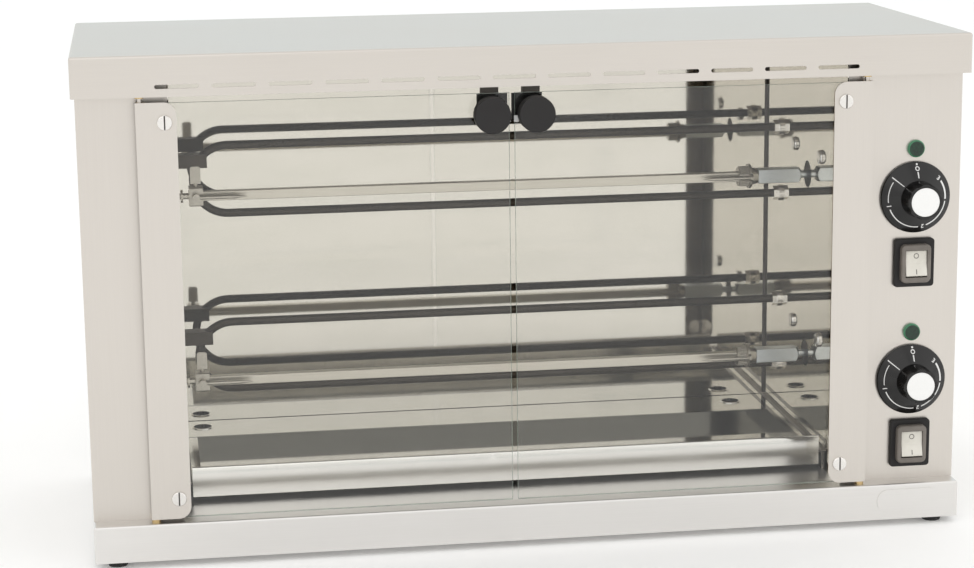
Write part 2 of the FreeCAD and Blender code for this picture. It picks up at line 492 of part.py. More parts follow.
def left_fork(level):
    """Block hub, a boss on its front and back with a prong in each, and a thumb screw on top."""
    x0, x1 = LEFT_FORK_X - LEFT_HUB_WIDTH / 2, LEFT_FORK_X + LEFT_HUB_WIDTH / 2
    depth, height = LEFT_HUB_DEPTH / 2, LEFT_HUB_HEIGHT / 2
    hub = box(x0, x1, SPIT_Y - depth, SPIT_Y + depth, level - height, level + height)
    hub = fillet(hub, LEFT_HUB_EDGE_R, lambda m, t: abs(t.x) > 0.9)
    reach = PRONG_SPREAD + PRONG_R + BOSS_OVERHANG
    boss = rod((LEFT_FORK_X, SPIT_Y - reach, level), Y_AXIS, BOSS_R, 2 * reach)
    prongs = []
    for side in (-1, 1):
        prongs += prong(LEFT_FORK_X, SPIT_Y + side * PRONG_SPREAD, level, 1)
    hole = rod((LEFT_FORK_X, SPIT_Y, level + height - THUMB_SEAT - CUT), Z_AXIS, THUMB_R, THUMB_SEAT + 2 * CUT)
    fork = fuse(hub, boss, *prongs).cut(bar_cutter(x0, x1, level)).cut(hole)
    return group(fork, thumb_screw(LEFT_FORK_X, level, level + height))


def right_fork(level):
    """Turned hub: a ribbed barrel, a flange that holds the prongs, and a nose towards the socket."""
    flange_x = RIGHT_HUB_START + RIGHT_BARREL
    nose_x = flange_x + RIGHT_FLANGE_THICK
    barrel = rod((RIGHT_HUB_START, SPIT_Y, level), X_AXIS, RIGHT_HUB_R, RIGHT_BARREL)
    ribs = []
    for k in range(RIGHT_RIBS):
        a = math.radians(360 / RIGHT_RIBS * (k + 0.5))
        y, z = SPIT_Y + RIGHT_HUB_R * math.cos(a), level + RIGHT_HUB_R * math.sin(a)
        ribs.append(rod((RIGHT_HUB_START + 1, y, z), X_AXIS, RIGHT_RIB_R, RIGHT_BARREL - 1))
    flange = rod((flange_x, SPIT_Y, level), X_AXIS, RIGHT_FLANGE_R, RIGHT_FLANGE_THICK)
    nose = cone((nose_x, SPIT_Y, level), X_AXIS, RIGHT_HUB_R, RIGHT_NOSE_R, RIGHT_HUB_END - nose_x)
    eyes = []
    prongs = []
    for side in (-1, 1):
        y = SPIT_Y + side * PRONG_SPREAD
        eyes.append(rod((flange_x, y, level), X_AXIS, BOSS_R, RIGHT_FLANGE_THICK))
        prongs += prong(flange_x + 1, y, level, -1)
    hub = fuse(barrel, flange, nose, *ribs, *eyes, *prongs)
    return hub.cut(bar_cutter(RIGHT_HUB_START, RIGHT_HUB_END, level))


def spit_bar(level):
    half = SPIT_BAR / 2
    bar = box(SPIT_LEFT_END, SOCKET_X[0] + SOCKET_DEPTH, SPIT_Y - half, SPIT_Y + half, level - half, level + half)
    bar = fillet(bar, SPIT_EDGE_R, lambda m, t: abs(t.x) > 0.9)
    collar = rod((COLLAR_X, SPIT_Y, level), X_AXIS, COLLAR_R, COLLAR_LENGTH)
    journal = rod((JOURNAL_END, SPIT_Y, level), X_AXIS, JOURNAL_R, SPIT_LEFT_END - JOURNAL_END)
    return fuse(bar, collar, journal)


def drive_socket(level):
    half = SPIT_BAR / 2
    side = SOCKET_SIDE / 2
    corner = side * 1.45            # just over the half diagonal of the socket's rounded square
    x0, x1 = SOCKET_X
    socket = box(x0, x1, SPIT_Y - side, SPIT_Y + side, level - side, level + side)
    socket = fillet(socket, SOCKET_EDGE_R, lambda m, t: abs(t.x) > 0.9)
    socket = socket.common(fuse(
        rod((x0, SPIT_Y, level), X_AXIS, corner, x1 - x0 - SOCKET_TAPER),
        cone((x1 - SOCKET_TAPER, SPIT_Y, level), X_AXIS, corner, side * 0.9, SOCKET_TAPER)))
    socket = socket.cut(box(x0 - CUT, x0 + SOCKET_DEPTH, SPIT_Y - half, SPIT_Y + half, level - half, level + half))
    return fuse(socket, rod((x1 - 2, SPIT_Y, level), X_AXIS, SHAFT_R, SHAFT_LENGTH))


def spit_cradle(level):
    """Open-topped bearing on the left wall; the journal drops in from above."""
    plate = box(CHAMBER_LEFT, CHAMBER_LEFT + CRADLE_PLATE, SPIT_Y - CRADLE_PLATE_HALF, SPIT_Y + CRADLE_PLATE_HALF,
                level - CRADLE_PLATE_BELOW, level + CRADLE_PLATE_ABOVE)
    cradle = box(CHAMBER_LEFT, CHAMBER_LEFT + CRADLE_LENGTH, SPIT_Y - CRADLE_HALF, SPIT_Y + CRADLE_HALF,
                 level - CRADLE_HALF, level + CRADLE_RISE)
    cradle = fillet(cradle, CRADLE_EDGE_R, lambda m, t: abs(t.x) > 0.9 and m.z < level)
    slot_r = JOURNAL_R + CRADLE_GAP
    length = CRADLE_LENGTH + 2 * CUT
    start = CHAMBER_LEFT - CUT
    slot = fuse(rod((start, SPIT_Y, level), X_AXIS, slot_r, length),
                box(start, start + length, SPIT_Y - slot_r, SPIT_Y + slot_r,
                    level, level + CRADLE_PLATE_ABOVE + CUT))
    return fuse(plate, cradle).cut(slot)


def make_spits():
    cradles = []
    screws = []
    for name, level in SPIT_LEVELS.items():
        parts[name + "_spit_bar"] = spit_bar(level)
        parts[name + "_drive_socket"] = drive_socket(level)
        parts[name + "_left_fork"] = left_fork(level)
        parts[name + "_right_fork"] = right_fork(level)
        cradles.append(spit_cradle(level))
        for y in MOTOR_SCREW_Y:
            screws.append(pan_head(CHAMBER_RIGHT, y, level + MOTOR_SCREW_RISE, X_AXIS * -1, MOTOR_SCREW_HEAD_R,
                                   MOTOR_SCREW_HEAD_H, MOTOR_SCREW_R, MOTOR_SCREW_LENGTH))
    parts["spit_brackets"] = group(*cradles)
    parts["motor_screws"] = group(*screws)


def motor_bracket(level):
    wall = CHAMBER_RIGHT + LINER
    z0, z1 = level - MOTOR_PLATE_BELOW, level + MOTOR_PLATE_ABOVE
    plate_x = wall + MOTOR_PLATE_GAP
    plate = box(plate_x, plate_x + MOTOR_PLATE_THICK, MOTOR_SCREW_Y[0] - MOTOR_PLATE_MARGIN,
                MOTOR_SCREW_Y[1] + MOTOR_PLATE_MARGIN, z0, z1)
    legs = []
    for y in MOTOR_SCREW_Y:
        tab = MOTOR_PLATE_MARGIN - MOTOR_PLATE_THICK
        legs.append(box(wall, plate_x + MOTOR_PLATE_THICK, y - tab, y - tab + MOTOR_PLATE_THICK, z0, z1))
        legs.append(box(wall, wall + MOTOR_PLATE_THICK, y - tab, y + tab, level + MOTOR_TAB_RISE, z1))
    bracket = fuse(plate, *legs).cut(rod((wall + CUT, SPIT_Y, level), X_AXIS, 2 * SHAFT_R, MOTOR_PLATE_GAP + 4))
    for y in MOTOR_SCREW_Y:
        bracket = bracket.cut(rod((wall - CUT, y, level + MOTOR_SCREW_RISE), X_AXIS, MOTOR_SCREW_R,
                                  MOTOR_PLATE_THICK + 2 * CUT))
    return bracket


def gear_motor(level):
    face = CHAMBER_RIGHT + LINER + MOTOR_PLATE_GAP + MOTOR_PLATE_THICK
    gearbox = rounded_block(0, 0, GEARBOX_WIDTH, GEARBOX_HEIGHT, 0, GEARBOX_DEPTH, GEARBOX_EDGE_R)
    gearbox.rotate(V(0, 0, 0), Z_AXIS, -90)
    gearbox.translate(V(face, SPIT_Y, level - GEARBOX_DROP))
    end = face + GEARBOX_DEPTH + CAN_LENGTH
    can = rod((face + GEARBOX_DEPTH, SPIT_Y, level - CAN_DROP), X_AXIS, CAN_R, CAN_LENGTH)
    can = fillet(can, CAN_EDGE_R, lambda m, t: m.x > end - 0.1)
    shaft_end = SOCKET_X[1] - 2 + SHAFT_LENGTH
    bore = rod((face - CUT, SPIT_Y, level), X_AXIS, SHAFT_R + FIT, shaft_end + CUT - face + CUT)
    return fuse(gearbox, can).cut(bore)


def make_motors():
    parts["gear_motors"] = group(*[gear_motor(level) for level in SPIT_LEVELS.values()])
    parts["motor_brackets"] = group(*[motor_bracket(level) for level in SPIT_LEVELS.values()])


# ---------------------------------------------------------------- doors
def make_door(side, hinge_x, glass_edge):
    """side is +1 when the door reaches towards +X from its hinge, -1 when towards -X."""
    name = "left" if side > 0 else "right"

    def span(near, far, y0, y1, z0, z1):
        xs = sorted((hinge_x + side * near, hinge_x + side * far))
        return box(xs[0], xs[1], y0, y1, z0, z1)

    z0, z1 = DOOR_PLATE_Z
    back = DOOR_FRONT + DOOR_PLATE_THICK
    ear_back = HINGE_Y + DOOR_EAR_REACH
    far = DOOR_PLATE_WIDTH - HINGE_TO_EDGE
    plate = span(-HINGE_TO_EDGE, far, DOOR_FRONT, back, z0, z1)
    plate = fillet(plate, DOOR_CORNER_R,
                   lambda m, t: abs(t.y) > 0.9 and abs(m.x - (hinge_x + side * far)) < 0.1)
    ears = [span(-HINGE_TO_EDGE, HINGE_TO_EDGE, DOOR_FRONT, ear_back, z, z + DOOR_EAR_THICK)
            for z in (z0, z1 - DOOR_EAR_THICK)]
    cheek = span(-HINGE_TO_EDGE, DOOR_CHEEK_THICK - HINGE_TO_EDGE, DOOR_FRONT, ear_back, z0, z1)
    lower_pin = rod((hinge_x, HINGE_Y, z0 - PIN_BELOW), Z_AXIS, PIN_R, PIN_BELOW + PIN_ROOT)
    upper_pin = rod((hinge_x, HINGE_Y, z1 - PIN_ROOT), Z_AXIS, PIN_R, PIN_ABOVE + PIN_ROOT)
    screw_x = hinge_x + side * CLAMP_SCREW_OFFSET
    holes = fuse(*[rod((screw_x, DOOR_FRONT - CUT, z), Y_AXIS, CLAMP_SHANK_R, CLAMP_SHANK_LENGTH)
                   for z in CLAMP_SCREW_Z])
    parts[name + "_door_plate"] = fuse(plate, cheek, lower_pin, upper_pin, *ears).cut(holes)

    knob_x = KNOB_X[name]
    glass_back = back + GLASS_THICK
    stud_hole = rod((knob_x, back - CUT, KNOB_Z), Y_AXIS, KNOB_STUD_R, GLASS_THICK + STRIKE_THICK + 2 * CUT)
    glass = span(GLASS_INSET, abs(glass_edge - hinge_x), back, glass_back, *GLASS_Z)
    glass = glass.makeFillet(GLASS_EDGE_R, [e for e in glass.Edges if e.Length > 2 * GLASS_THICK])
    parts[name + "_door_glass"] = glass.cut(holes).cut(stud_hole)

    clamps = []
    screws = []
    for z in CLAMP_SCREW_Z:
        washer = rod((screw_x, glass_back, z), Y_AXIS, CLAMP_WASHER_R, CLAMP_WASHER_THICK)
        nut = hexagon((screw_x, glass_back + CLAMP_WASHER_THICK, z), Y_AXIS, CLAMP_NUT, CLAMP_NUT_THICK)
        shank = rod((screw_x, glass_back - CUT, z), Y_AXIS, CLAMP_SHANK_R, CLAMP_SHANK_LENGTH)
        clamps += [washer.cut(shank), nut.cut(shank)]
        screws.append(pan_head(screw_x, DOOR_FRONT, z, Y_AXIS * -1, CLAMP_HEAD_R, CLAMP_HEAD_H,
                               CLAMP_SHANK_R, CLAMP_SHANK_LENGTH))
    parts[name + "_door_clamps"] = group(*clamps)
    parts[name + "_door_screws"] = group(*screws)

    disc = rod((knob_x, KNOB_FRONT, KNOB_Z), Y_AXIS, KNOB_R, KNOB_THICK)
    disc = fillet(disc, KNOB_EDGE_R, lambda m, t: m.y < KNOB_FRONT + 0.1)
    stem_start = KNOB_FRONT + KNOB_THICK - CUT
    stem = rod((knob_x, stem_start, KNOB_Z), Y_AXIS, KNOB_STEM_R, back - stem_start)
    stud = rod((knob_x, back - CUT, KNOB_Z), Y_AXIS, KNOB_STUD_R, KNOB_STUD_LENGTH)
    parts[name + "_door_knob"] = fuse(disc, stem, stud)

    xs = sorted((STRIKE_FREE_EDGE[name], STRIKE_FREE_EDGE[name] - side * STRIKE_WIDTH))
    strike = box(xs[0], xs[1], glass_back, glass_back + STRIKE_THICK, *STRIKE_Z)
    parts[name + "_door_strike"] = strike.cut(stud_hole)


def make_hinge_bushes():
    lower = []
    upper = []
    for hinge_x in (LEFT_HINGE_X, RIGHT_HINGE_X):
        bore = rod((hinge_x, HINGE_Y, 0), Z_AXIS, PIN_R + FIT, HEIGHT)
        lower.append(fuse(
            rod((hinge_x, HINGE_Y, BASE_TOP), Z_AXIS, BUSH_R, DOOR_PLATE_Z[0] - BASE_TOP - BUSH_GAP),
            rod((hinge_x, HINGE_Y, BASE_TOP - BUSH_NECK), Z_AXIS, BUSH_NECK_R, BUSH_NECK)).cut(bore))
        upper.append(fuse(
            rod((hinge_x, HINGE_Y, COVER_SKIRT_Z - BUSH_COLLAR), Z_AXIS, BUSH_R, BUSH_COLLAR),
            rod((hinge_x, HINGE_Y, COVER_SKIRT_Z), Z_AXIS, BUSH_NECK_R, BUSH_NECK)).cut(bore))
    parts["lower_hinge_bushes"] = group(*lower)
    parts["upper_hinge_bushes"] = group(*upper)


def make_catches():
    front = DOOR_FRONT + DOOR_PLATE_THICK + GLASS_THICK + STRIKE_THICK + CATCH_GAP
    bottom = COVER_SKIRT_Z - CATCH_HEIGHT
    catches = []
    for name, side in (("left", -1), ("right", 1)):
        xs = sorted((CATCH_FREE_EDGE[name], CATCH_FREE_EDGE[name] + side * CATCH_WIDTH))
        block = box(xs[0], xs[1], front, front + CATCH_DEPTH, bottom, COVER_SKIRT_Z)
        catches.append(fillet(block, CATCH_EDGE_R, lambda m, t: m.z < bottom + 0.1 and abs(t.x) > 0.9))
    parts["magnet_catches"] = group(*catches)


# ---------------------------------------------------------------- controls
def pilot_lens(z):
    lens = rod((CONTROL_X, BODY_FRONT - PILOT_DEPTH, z), Y_AXIS, PILOT_R, PILOT_DEPTH)
    lens = fillet(lens, PILOT_EDGE_R, lambda m, t: m.y < BODY_FRONT - PILOT_DEPTH + 0.1)
    return fuse(lens, rod((CONTROL_X, BODY_FRONT - CUT, z), Y_AXIS, PILOT_NECK_R, CUT + SHEET + LAMP_START))


def pilot_body(z):
    start = BODY_FRONT + SHEET + LAMP_START
    return fuse(rod((CONTROL_X, start, z), Y_AXIS, LAMP_R, LAMP_LENGTH),
                hexagon((CONTROL_X, start, z), Y_AXIS, LAMP_NUT, LAMP_NUT_THICK))


def dial(z):
    """Fluted hub on a flared skirt with a thin rim, on its own short shaft."""
    length = BODY_FRONT - DIAL_GAP - DIAL_FRONT
    rim = length - DIAL_RIM_THICK
    corners = [(0, 0), (DIAL_HUB_R, 0), (DIAL_HUB_R + 1, DIAL_HUB_LENGTH), (DIAL_R - 1, rim), (DIAL_R, rim + 1),
               (DIAL_R, length), (0, length), (0, 0)]
    profile = Part.makePolygon([V(r, y, 0) for r, y in corners])
    body = Part.Face(profile).revolve(V(0, 0, 0), Y_AXIS, 360)
    for k in range(DIAL_FLUTES):
        a = math.radians(360 / DIAL_FLUTES * (k + 0.5))
        body = body.cut(rod((DIAL_FLUTE_OFFSET * math.cos(a), -CUT, DIAL_FLUTE_OFFSET * math.sin(a)), Y_AXIS,
                            DIAL_FLUTE_R, DIAL_HUB_LENGTH - 3))
    body = body.cut(rod((0, -CUT, 0), Y_AXIS, DIAL_CAP_R, DIAL_CAP_THICK + CUT))
    body = fuse(body, rod((0, length - CUT, 0), Y_AXIS, REGULATOR_SHAFT_R, REGULATOR_SHAFT_LENGTH))
    body.translate(V(CONTROL_X, DIAL_FRONT, z))
    return body


def energy_regulator(z):
    inside = BODY_FRONT + SHEET
    case = box(CONTROL_X - REGULATOR_HALF_WIDTH, CONTROL_X + REGULATOR_HALF_WIDTH, inside + REGULATOR_Y[0],
               inside + REGULATOR_Y[1], z - REGULATOR_HALF_HEIGHT, z + REGULATOR_HALF_HEIGHT)
    neck = rod((CONTROL_X, inside - CUT, z), Y_AXIS, REGULATOR_NECK_R, REGULATOR_Y[0] + 2 * CUT)
    bore = rod((CONTROL_X, inside - 2 * CUT, z), Y_AXIS, REGULATOR_SHAFT_R + FIT, REGULATOR_SHAFT_LENGTH + 2)
    return fuse(case, neck).cut(bore)


def rocker(z):
    """Rocker of a switch: a shallow V in front, round ends about its pivot, tilted to its first position."""
    width, height, ring_depth = SWITCH_RING
    pivot_y = BODY_FRONT - SWITCH_BASE[2] - ring_depth + ROCKER_PIVOT
    front_y = -math.sqrt(ROCKER_R ** 2 - ROCKER_HALF_HEIGHT ** 2)
    back_z = math.sqrt(ROCKER_R ** 2 - ROCKER_BACK ** 2)
    outline = Part.Wire([
        Part.makeLine(V(0, front_y, -ROCKER_HALF_HEIGHT), V(0, front_y + ROCKER_DISH, 0)),
        Part.makeLine(V(0, front_y + ROCKER_DISH, 0), V(0, front_y, ROCKER_HALF_HEIGHT)),
        Part.Arc(V(0, front_y, ROCKER_HALF_HEIGHT), V(0, 0, ROCKER_R), V(0, ROCKER_BACK, back_z)).toShape(),
        Part.makeLine(V(0, ROCKER_BACK, back_z), V(0, ROCKER_BACK, -back_z)),
        Part.Arc(V(0, ROCKER_BACK, -back_z), V(0, 0, -ROCKER_R), V(0, front_y, -ROCKER_HALF_HEIGHT)).toShape()])
    body = Part.Face(outline).extrude(V(ROCKER_WIDTH, 0, 0))
    body.translate(V(-ROCKER_WIDTH / 2, 0, 0))
    body.rotate(V(0, 0, 0), X_AXIS, -ROCKER_TILT)
    body.translate(V(CONTROL_X, pivot_y, z))
    return body


def make_switch(z):
    """Housing and ring of one switch, both open in front for the rocker."""
    base_w, base_h, base_t = SWITCH_BASE
    ring_w, ring_h, ring_t = SWITCH_RING
    base_y = BODY_FRONT - base_t
    ring_y = base_y - ring_t
    half_w = ROCKER_WIDTH / 2 + SWITCH_WINDOW_GAP
    half_h = ROCKER_R + SWITCH_WINDOW_GAP
    window = box(CONTROL_X - half_w, CONTROL_X + half_w, ring_y - CUT, BODY_FRONT + SWITCH_WINDOW_DEPTH,
                 z - half_h, z + half_h)
    base = rounded_block(CONTROL_X, z, base_w, base_h, base_y, BODY_FRONT, SWITCH_BASE_CORNER_R)
    base = fillet(base, SWITCH_BASE_EDGE_R, lambda m, t: m.y < base_y + 0.1)
    body = box(CONTROL_X - SWITCH_BODY_HALF_WIDTH, CONTROL_X + SWITCH_BODY_HALF_WIDTH, BODY_FRONT - CUT,
               BODY_FRONT + SWITCH_BODY_DEPTH, z - SWITCH_BODY_HALF_HEIGHT, z + SWITCH_BODY_HALF_HEIGHT)
    ring = rounded_block(CONTROL_X, z, ring_w, ring_h, ring_y, base_y, SWITCH_RING_CORNER_R)
    ring = fillet(ring, SWITCH_RING_EDGE_R, lambda m, t: m.y < ring_y + 0.1)
    return fuse(base, body).cut(window), ring.cut(window)


def make_controls():
    lenses = []
    lamps = []
    regulators = []
    housings = []
    rings = []
    for name, drop in SET_DROPS.items():
        lenses.append(pilot_lens(PILOT_Z + drop))
        lamps.append(pilot_body(PILOT_Z + drop))
        parts[name + "_dial"] = dial(DIAL_Z + drop)
        cap = rod((CONTROL_X, DIAL_FRONT, DIAL_Z + drop), Y_AXIS, DIAL_CAP_R, DIAL_CAP_THICK)
        parts[name + "_dial_cap"] = fillet(cap, DIAL_CAP_EDGE_R, lambda m, t: m.y < DIAL_FRONT + 0.1)
        regulators.append(energy_regulator(DIAL_Z + drop))
        housing, ring = make_switch(SWITCH_Z + drop)
        housings.append(housing)
        rings.append(ring)
        parts[name + "_rocker"] = rocker(SWITCH_Z + drop)
    parts["pilot_lenses"] = group(*lenses)
    parts["pilot_bodies"] = group(*lamps)
    parts["energy_regulators"] = group(*regulators)
    parts["switch_housings"] = group(*housings)
    parts["switch_rings"] = group(*rings)


# ---------------------------------------------------------------- drip tray and its rails
def tray_tile(x):
    """Square of the tray's shelf around one finger hole, with the hole's rolled collar."""
    tile = box(x - TRAY_TILE_HALF, x + TRAY_TILE_HALF, TRAY_HOLE_Y - TRAY_TILE_HALF, TRAY_HOLE_Y + TRAY_TILE_HALF,
               TRAY_RIM_Z - LINER, TRAY_RIM_Z)
    collar_r = TRAY_HOLE_R + TRAY_COLLAR_WALL
    top = TRAY_RIM_Z + TRAY_COLLAR_RISE
    collar = rod((x, TRAY_HOLE_Y, top - TRAY_COLLAR_DEPTH), Z_AXIS, collar_r, TRAY_COLLAR_DEPTH)
    collar = fillet(collar, TRAY_COLLAR_RISE * 0.8, lambda m, t: m.z > top - 0.1)
    hole = rod((x, TRAY_HOLE_Y, top - TRAY_COLLAR_DEPTH - CUT), Z_AXIS, TRAY_HOLE_R, TRAY_COLLAR_DEPTH + 2 * CUT)
    return fuse(tile, collar).cut(hole)


def make_tray():
    """Pressed tray: each flat of it is one solid that meets its neighbours face to face."""
    t = LINER
    x0, x1 = TRAY_X
    wx0, wx1 = x0 + TRAY_FLANGE, x1 - TRAY_FLANGE
    back_y = TRAY_WELL_BACK_Y
    front_y = TRAY_FRONT_Y + t
    shelf_z0, shelf_z1 = TRAY_RIM_Z - t, TRAY_RIM_Z
    front = fuse(box(x0, x1, TRAY_FRONT_Y, front_y, TRAY_FLOOR_Z, TRAY_FRONT_Z - TRAY_HEM_R),
                 rod((x0, TRAY_FRONT_Y + TRAY_HEM_R, TRAY_FRONT_Z - TRAY_HEM_R), X_AXIS, TRAY_HEM_R, x1 - x0))
    flats = [
        front,
        box(wx0, wx1, front_y, back_y, TRAY_FLOOR_Z, TRAY_FLOOR_Z + t),
        box(wx0, wx1, back_y - t, back_y, TRAY_FLOOR_Z + t, shelf_z0),
        box(wx0, wx0 + t, front_y, back_y - t, TRAY_FLOOR_Z + t, shelf_z0),
        box(wx1 - t, wx1, front_y, back_y - t, TRAY_FLOOR_Z + t, shelf_z0),
        box(x0, wx0 + t, front_y, back_y - t, shelf_z0, shelf_z1),
        box(wx1 - t, x1, front_y, back_y - t, shelf_z0, shelf_z1)]
    tile_y0, tile_y1 = TRAY_HOLE_Y - TRAY_TILE_HALF, TRAY_HOLE_Y + TRAY_TILE_HALF
    flats.append(box(x0, x1, back_y - t, tile_y0, shelf_z0, shelf_z1))
    flats.append(box(x0, x1, tile_y1, TRAY_BACK_Y, shelf_z0, shelf_z1))
    edges = [x0]
    for x in TRAY_HOLES_X:
        flats.append(tray_tile(x))
        edges += [x - TRAY_TILE_HALF, x + TRAY_TILE_HALF]
    edges.append(x1)
    for left, right in zip(edges[0::2], edges[1::2]):
        flats.append(box(left, right, tile_y0, tile_y1, shelf_z0, shelf_z1))
    parts["drip_tray"] = group(*flats)


def make_rails():
    """Angle rails under the tray's side flanges."""
    top = TRAY_RIM_Z - LINER
    rails = []
    for wall, side, flange in ((CHAMBER_LEFT, 1, TRAY_X[0]), (CHAMBER_RIGHT, -1, TRAY_X[1])):
        lip = sorted((wall, flange + side * (TRAY_FLANGE - RAIL_CLEARANCE)))
        web = sorted((wall, wall + side * RAIL_WEB))
        rails.append(fuse(box(lip[0], lip[1], RAIL_FRONT_Y, CHAMBER_BACK, top - RAIL_LIP, top),
                          box(web[0], web[1], RAIL_FRONT_Y, CHAMBER_BACK, CHAMBER_FLOOR, top)))
    parts["tray_rails"] = group(*rails)


# ---------------------------------------------------------------- electrical and trim
def make_terminal_block():
    y0, y1 = TERMINAL_Y
    top = BASE_TOP + TERMINAL_HEIGHT
    block = box(CONTROL_X - TERMINAL_HALF_WIDTH, CONTROL_X + TERMINAL_HALF_WIDTH, y0, y1, BASE_TOP, top)
    first = CONTROL_X - TERMINAL_PITCH * (TERMINAL_WAYS - 1) / 2
    for k in range(TERMINAL_WAYS):
        x = first + TERMINAL_PITCH * k
        block = block.cut(rod((x, (y0 + y1) / 2, top - TERMINAL_HOLE_DEPTH), Z_AXIS, TERMINAL_HOLE_R,
                              TERMINAL_HOLE_DEPTH + CUT))
    for k in range(TERMINAL_WAYS - 1):
        x = first + TERMINAL_PITCH * (k + 0.5)
        block = block.cut(box(x - TERMINAL_GROOVE / 2, x + TERMINAL_GROOVE / 2, y0 - CUT, y1 + CUT,
                              top - TERMINAL_GROOVE_DEPTH, top + CUT))
    parts["terminal_block"] = block


def make_cable_gland():
    tip = BODY_BACK + GLAND_NUT_THICK
    start = BODY_BACK - GLAND_THREAD_LENGTH
    gland = fuse(
        hexagon((GLAND_X, BODY_BACK, GLAND_Z), Y_AXIS, GLAND_NUT, GLAND_NUT_THICK),
        cone((GLAND_X, tip, GLAND_Z), Y_AXIS, GLAND_DOME_R, GLAND_TIP_R, GLAND_END - tip),
        rod((GLAND_X, start, GLAND_Z), Y_AXIS, GLAND_THREAD_R, GLAND_THREAD_LENGTH + CUT),
        hexagon((GLAND_X, BODY_BACK - SHEET - GLAND_LOCK_THICK, GLAND_Z), Y_AXIS, GLAND_NUT, GLAND_LOCK_THICK))
    parts["cable_gland"] = gland.cut(rod((GLAND_X, start - CUT, GLAND_Z), Y_AXIS, GLAND_BORE_R,
                                         GLAND_END - start + 2 * CUT))


def make_badge():
    corner = BADGE_HEIGHT / 2 - 0.5
    parts["badge_plate"] = rounded_block(BADGE_X, BADGE_Z, BADGE_WIDTH, BADGE_HEIGHT,
                                         BASE_FRONT - BADGE_THICK, BASE_FRONT, corner)


# ---------------------------------------------------------------- build and export
make_cover()
make_base()
make_feet()
make_casing()
make_case_screws()
make_chamber()
make_elements()
make_spits()
make_motors()
make_door(1, LEFT_HINGE_X, LEFT_GLASS_EDGE)
make_door(-1, RIGHT_HINGE_X, RIGHT_GLASS_EDGE)
make_hinge_bushes()
make_catches()
make_controls()
make_tray()
make_rails()
make_terminal_block()
make_cable_gland()
make_badge()

os.makedirs("parts", exist_ok=True)
for node, shape in sorted(parts.items()):
    shape.exportStep("parts/" + node + ".step")
    print(node, len(shape.Solids), round(shape.Volume), shape.isValid())
print(len(parts), "nodes")
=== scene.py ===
"""Looks of the two-spit rotisserie oven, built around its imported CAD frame. Metres, +Z up."""
import math

import bmesh
import bpy
from mathutils import Matrix, Vector


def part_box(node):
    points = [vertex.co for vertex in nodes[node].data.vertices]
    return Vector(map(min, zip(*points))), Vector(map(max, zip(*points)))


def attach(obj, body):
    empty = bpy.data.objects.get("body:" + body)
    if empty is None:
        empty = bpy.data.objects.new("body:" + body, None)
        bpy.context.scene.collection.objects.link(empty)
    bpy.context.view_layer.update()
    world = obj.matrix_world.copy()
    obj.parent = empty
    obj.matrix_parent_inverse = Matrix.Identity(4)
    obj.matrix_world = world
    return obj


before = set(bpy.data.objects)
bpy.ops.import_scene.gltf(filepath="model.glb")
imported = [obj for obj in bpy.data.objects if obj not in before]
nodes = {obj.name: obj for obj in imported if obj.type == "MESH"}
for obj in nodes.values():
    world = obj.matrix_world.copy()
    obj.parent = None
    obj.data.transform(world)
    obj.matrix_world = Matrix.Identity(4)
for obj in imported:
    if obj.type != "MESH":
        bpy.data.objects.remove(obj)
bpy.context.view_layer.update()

# ---------------------------------------------------------------- camera and light
CAMERA_AT = (-0.4288, -2.7645, 0.8518)
CAMERA_YAW, CAMERA_PITCH, CAMERA_ROLL = (math.radians(a) for a in (8.279, 11.832, -0.683))
SENSOR = 36.0
FOCAL = 88.71
VIEW_DISTANCE = 60
SKY_TINT = (1.0, 0.995, 0.985, 1)
LAMP_TINT = (1.0, 0.98, 0.95)
LAMP_TARGET = (0, 0, 0.3)
KEY_AT, KEY_SIZE, KEY_POWER = (-1.6, -2.6, 2.8), (4.4, 3.2), 14
FILL_AT, FILL_SIZE, FILL_POWER = (2.4, -1.6, 1.8), (3.4, 3.0), 7


def add_camera():
    forward = Vector((math.sin(CAMERA_YAW) * math.cos(CAMERA_PITCH),
                      math.cos(CAMERA_YAW) * math.cos(CAMERA_PITCH), -math.sin(CAMERA_PITCH)))
    right = Vector((math.cos(CAMERA_YAW), -math.sin(CAMERA_YAW), 0))
    up = right.cross(forward)
    cam_right = math.cos(CAMERA_ROLL) * right + math.sin(CAMERA_ROLL) * up
    cam_up = -math.sin(CAMERA_ROLL) * right + math.cos(CAMERA_ROLL) * up
    turn = Matrix((cam_right, cam_up, -forward)).transposed()
    data = bpy.data.cameras.new("camera")
    data.sensor_width = SENSOR
    data.lens = FOCAL
    data.clip_end = VIEW_DISTANCE
    camera = bpy.data.objects.new("camera", data)
    camera.matrix_world = Matrix.Translation(CAMERA_AT) @ turn.to_4x4()
    bpy.context.scene.collection.objects.link(camera)
    bpy.context.scene.camera = camera


def area_light(name, at, size, power):
    data = bpy.data.lights.new(name, "AREA")
    data.shape = "RECTANGLE"
    data.size, data.size_y = size
    data.energy = power
    data.color = LAMP_TINT
    lamp = bpy.data.objects.new(name, data)
    lamp.location = at
    lamp.rotation_euler = (Vector(LAMP_TARGET) - Vector(at)).to_track_quat("-Z", "Y").to_euler()
    bpy.context.scene.collection.objects.link(lamp)


def add_world():
    world = bpy.data.worlds.new("studio")
    world.use_nodes = True
    background = world.node_tree.nodes["Background"]
    background.inputs["Color"].default_value = SKY_TINT
    background.inputs["Strength"].default_value = 1.0
    bpy.context.scene.world = world


# ---------------------------------------------------------------- materials
def new_material(name):
    material = bpy.data.materials.new(name)
    material.use_nodes = True
    tree = material.node_tree
    tree.nodes.clear()
    out = tree.nodes.new("ShaderNodeOutputMaterial")
    shader = tree.nodes.new("ShaderNodeBsdfPrincipled")
    tree.links.new(shader.outputs[0], out.inputs["Surface"])
    return material, tree, shader


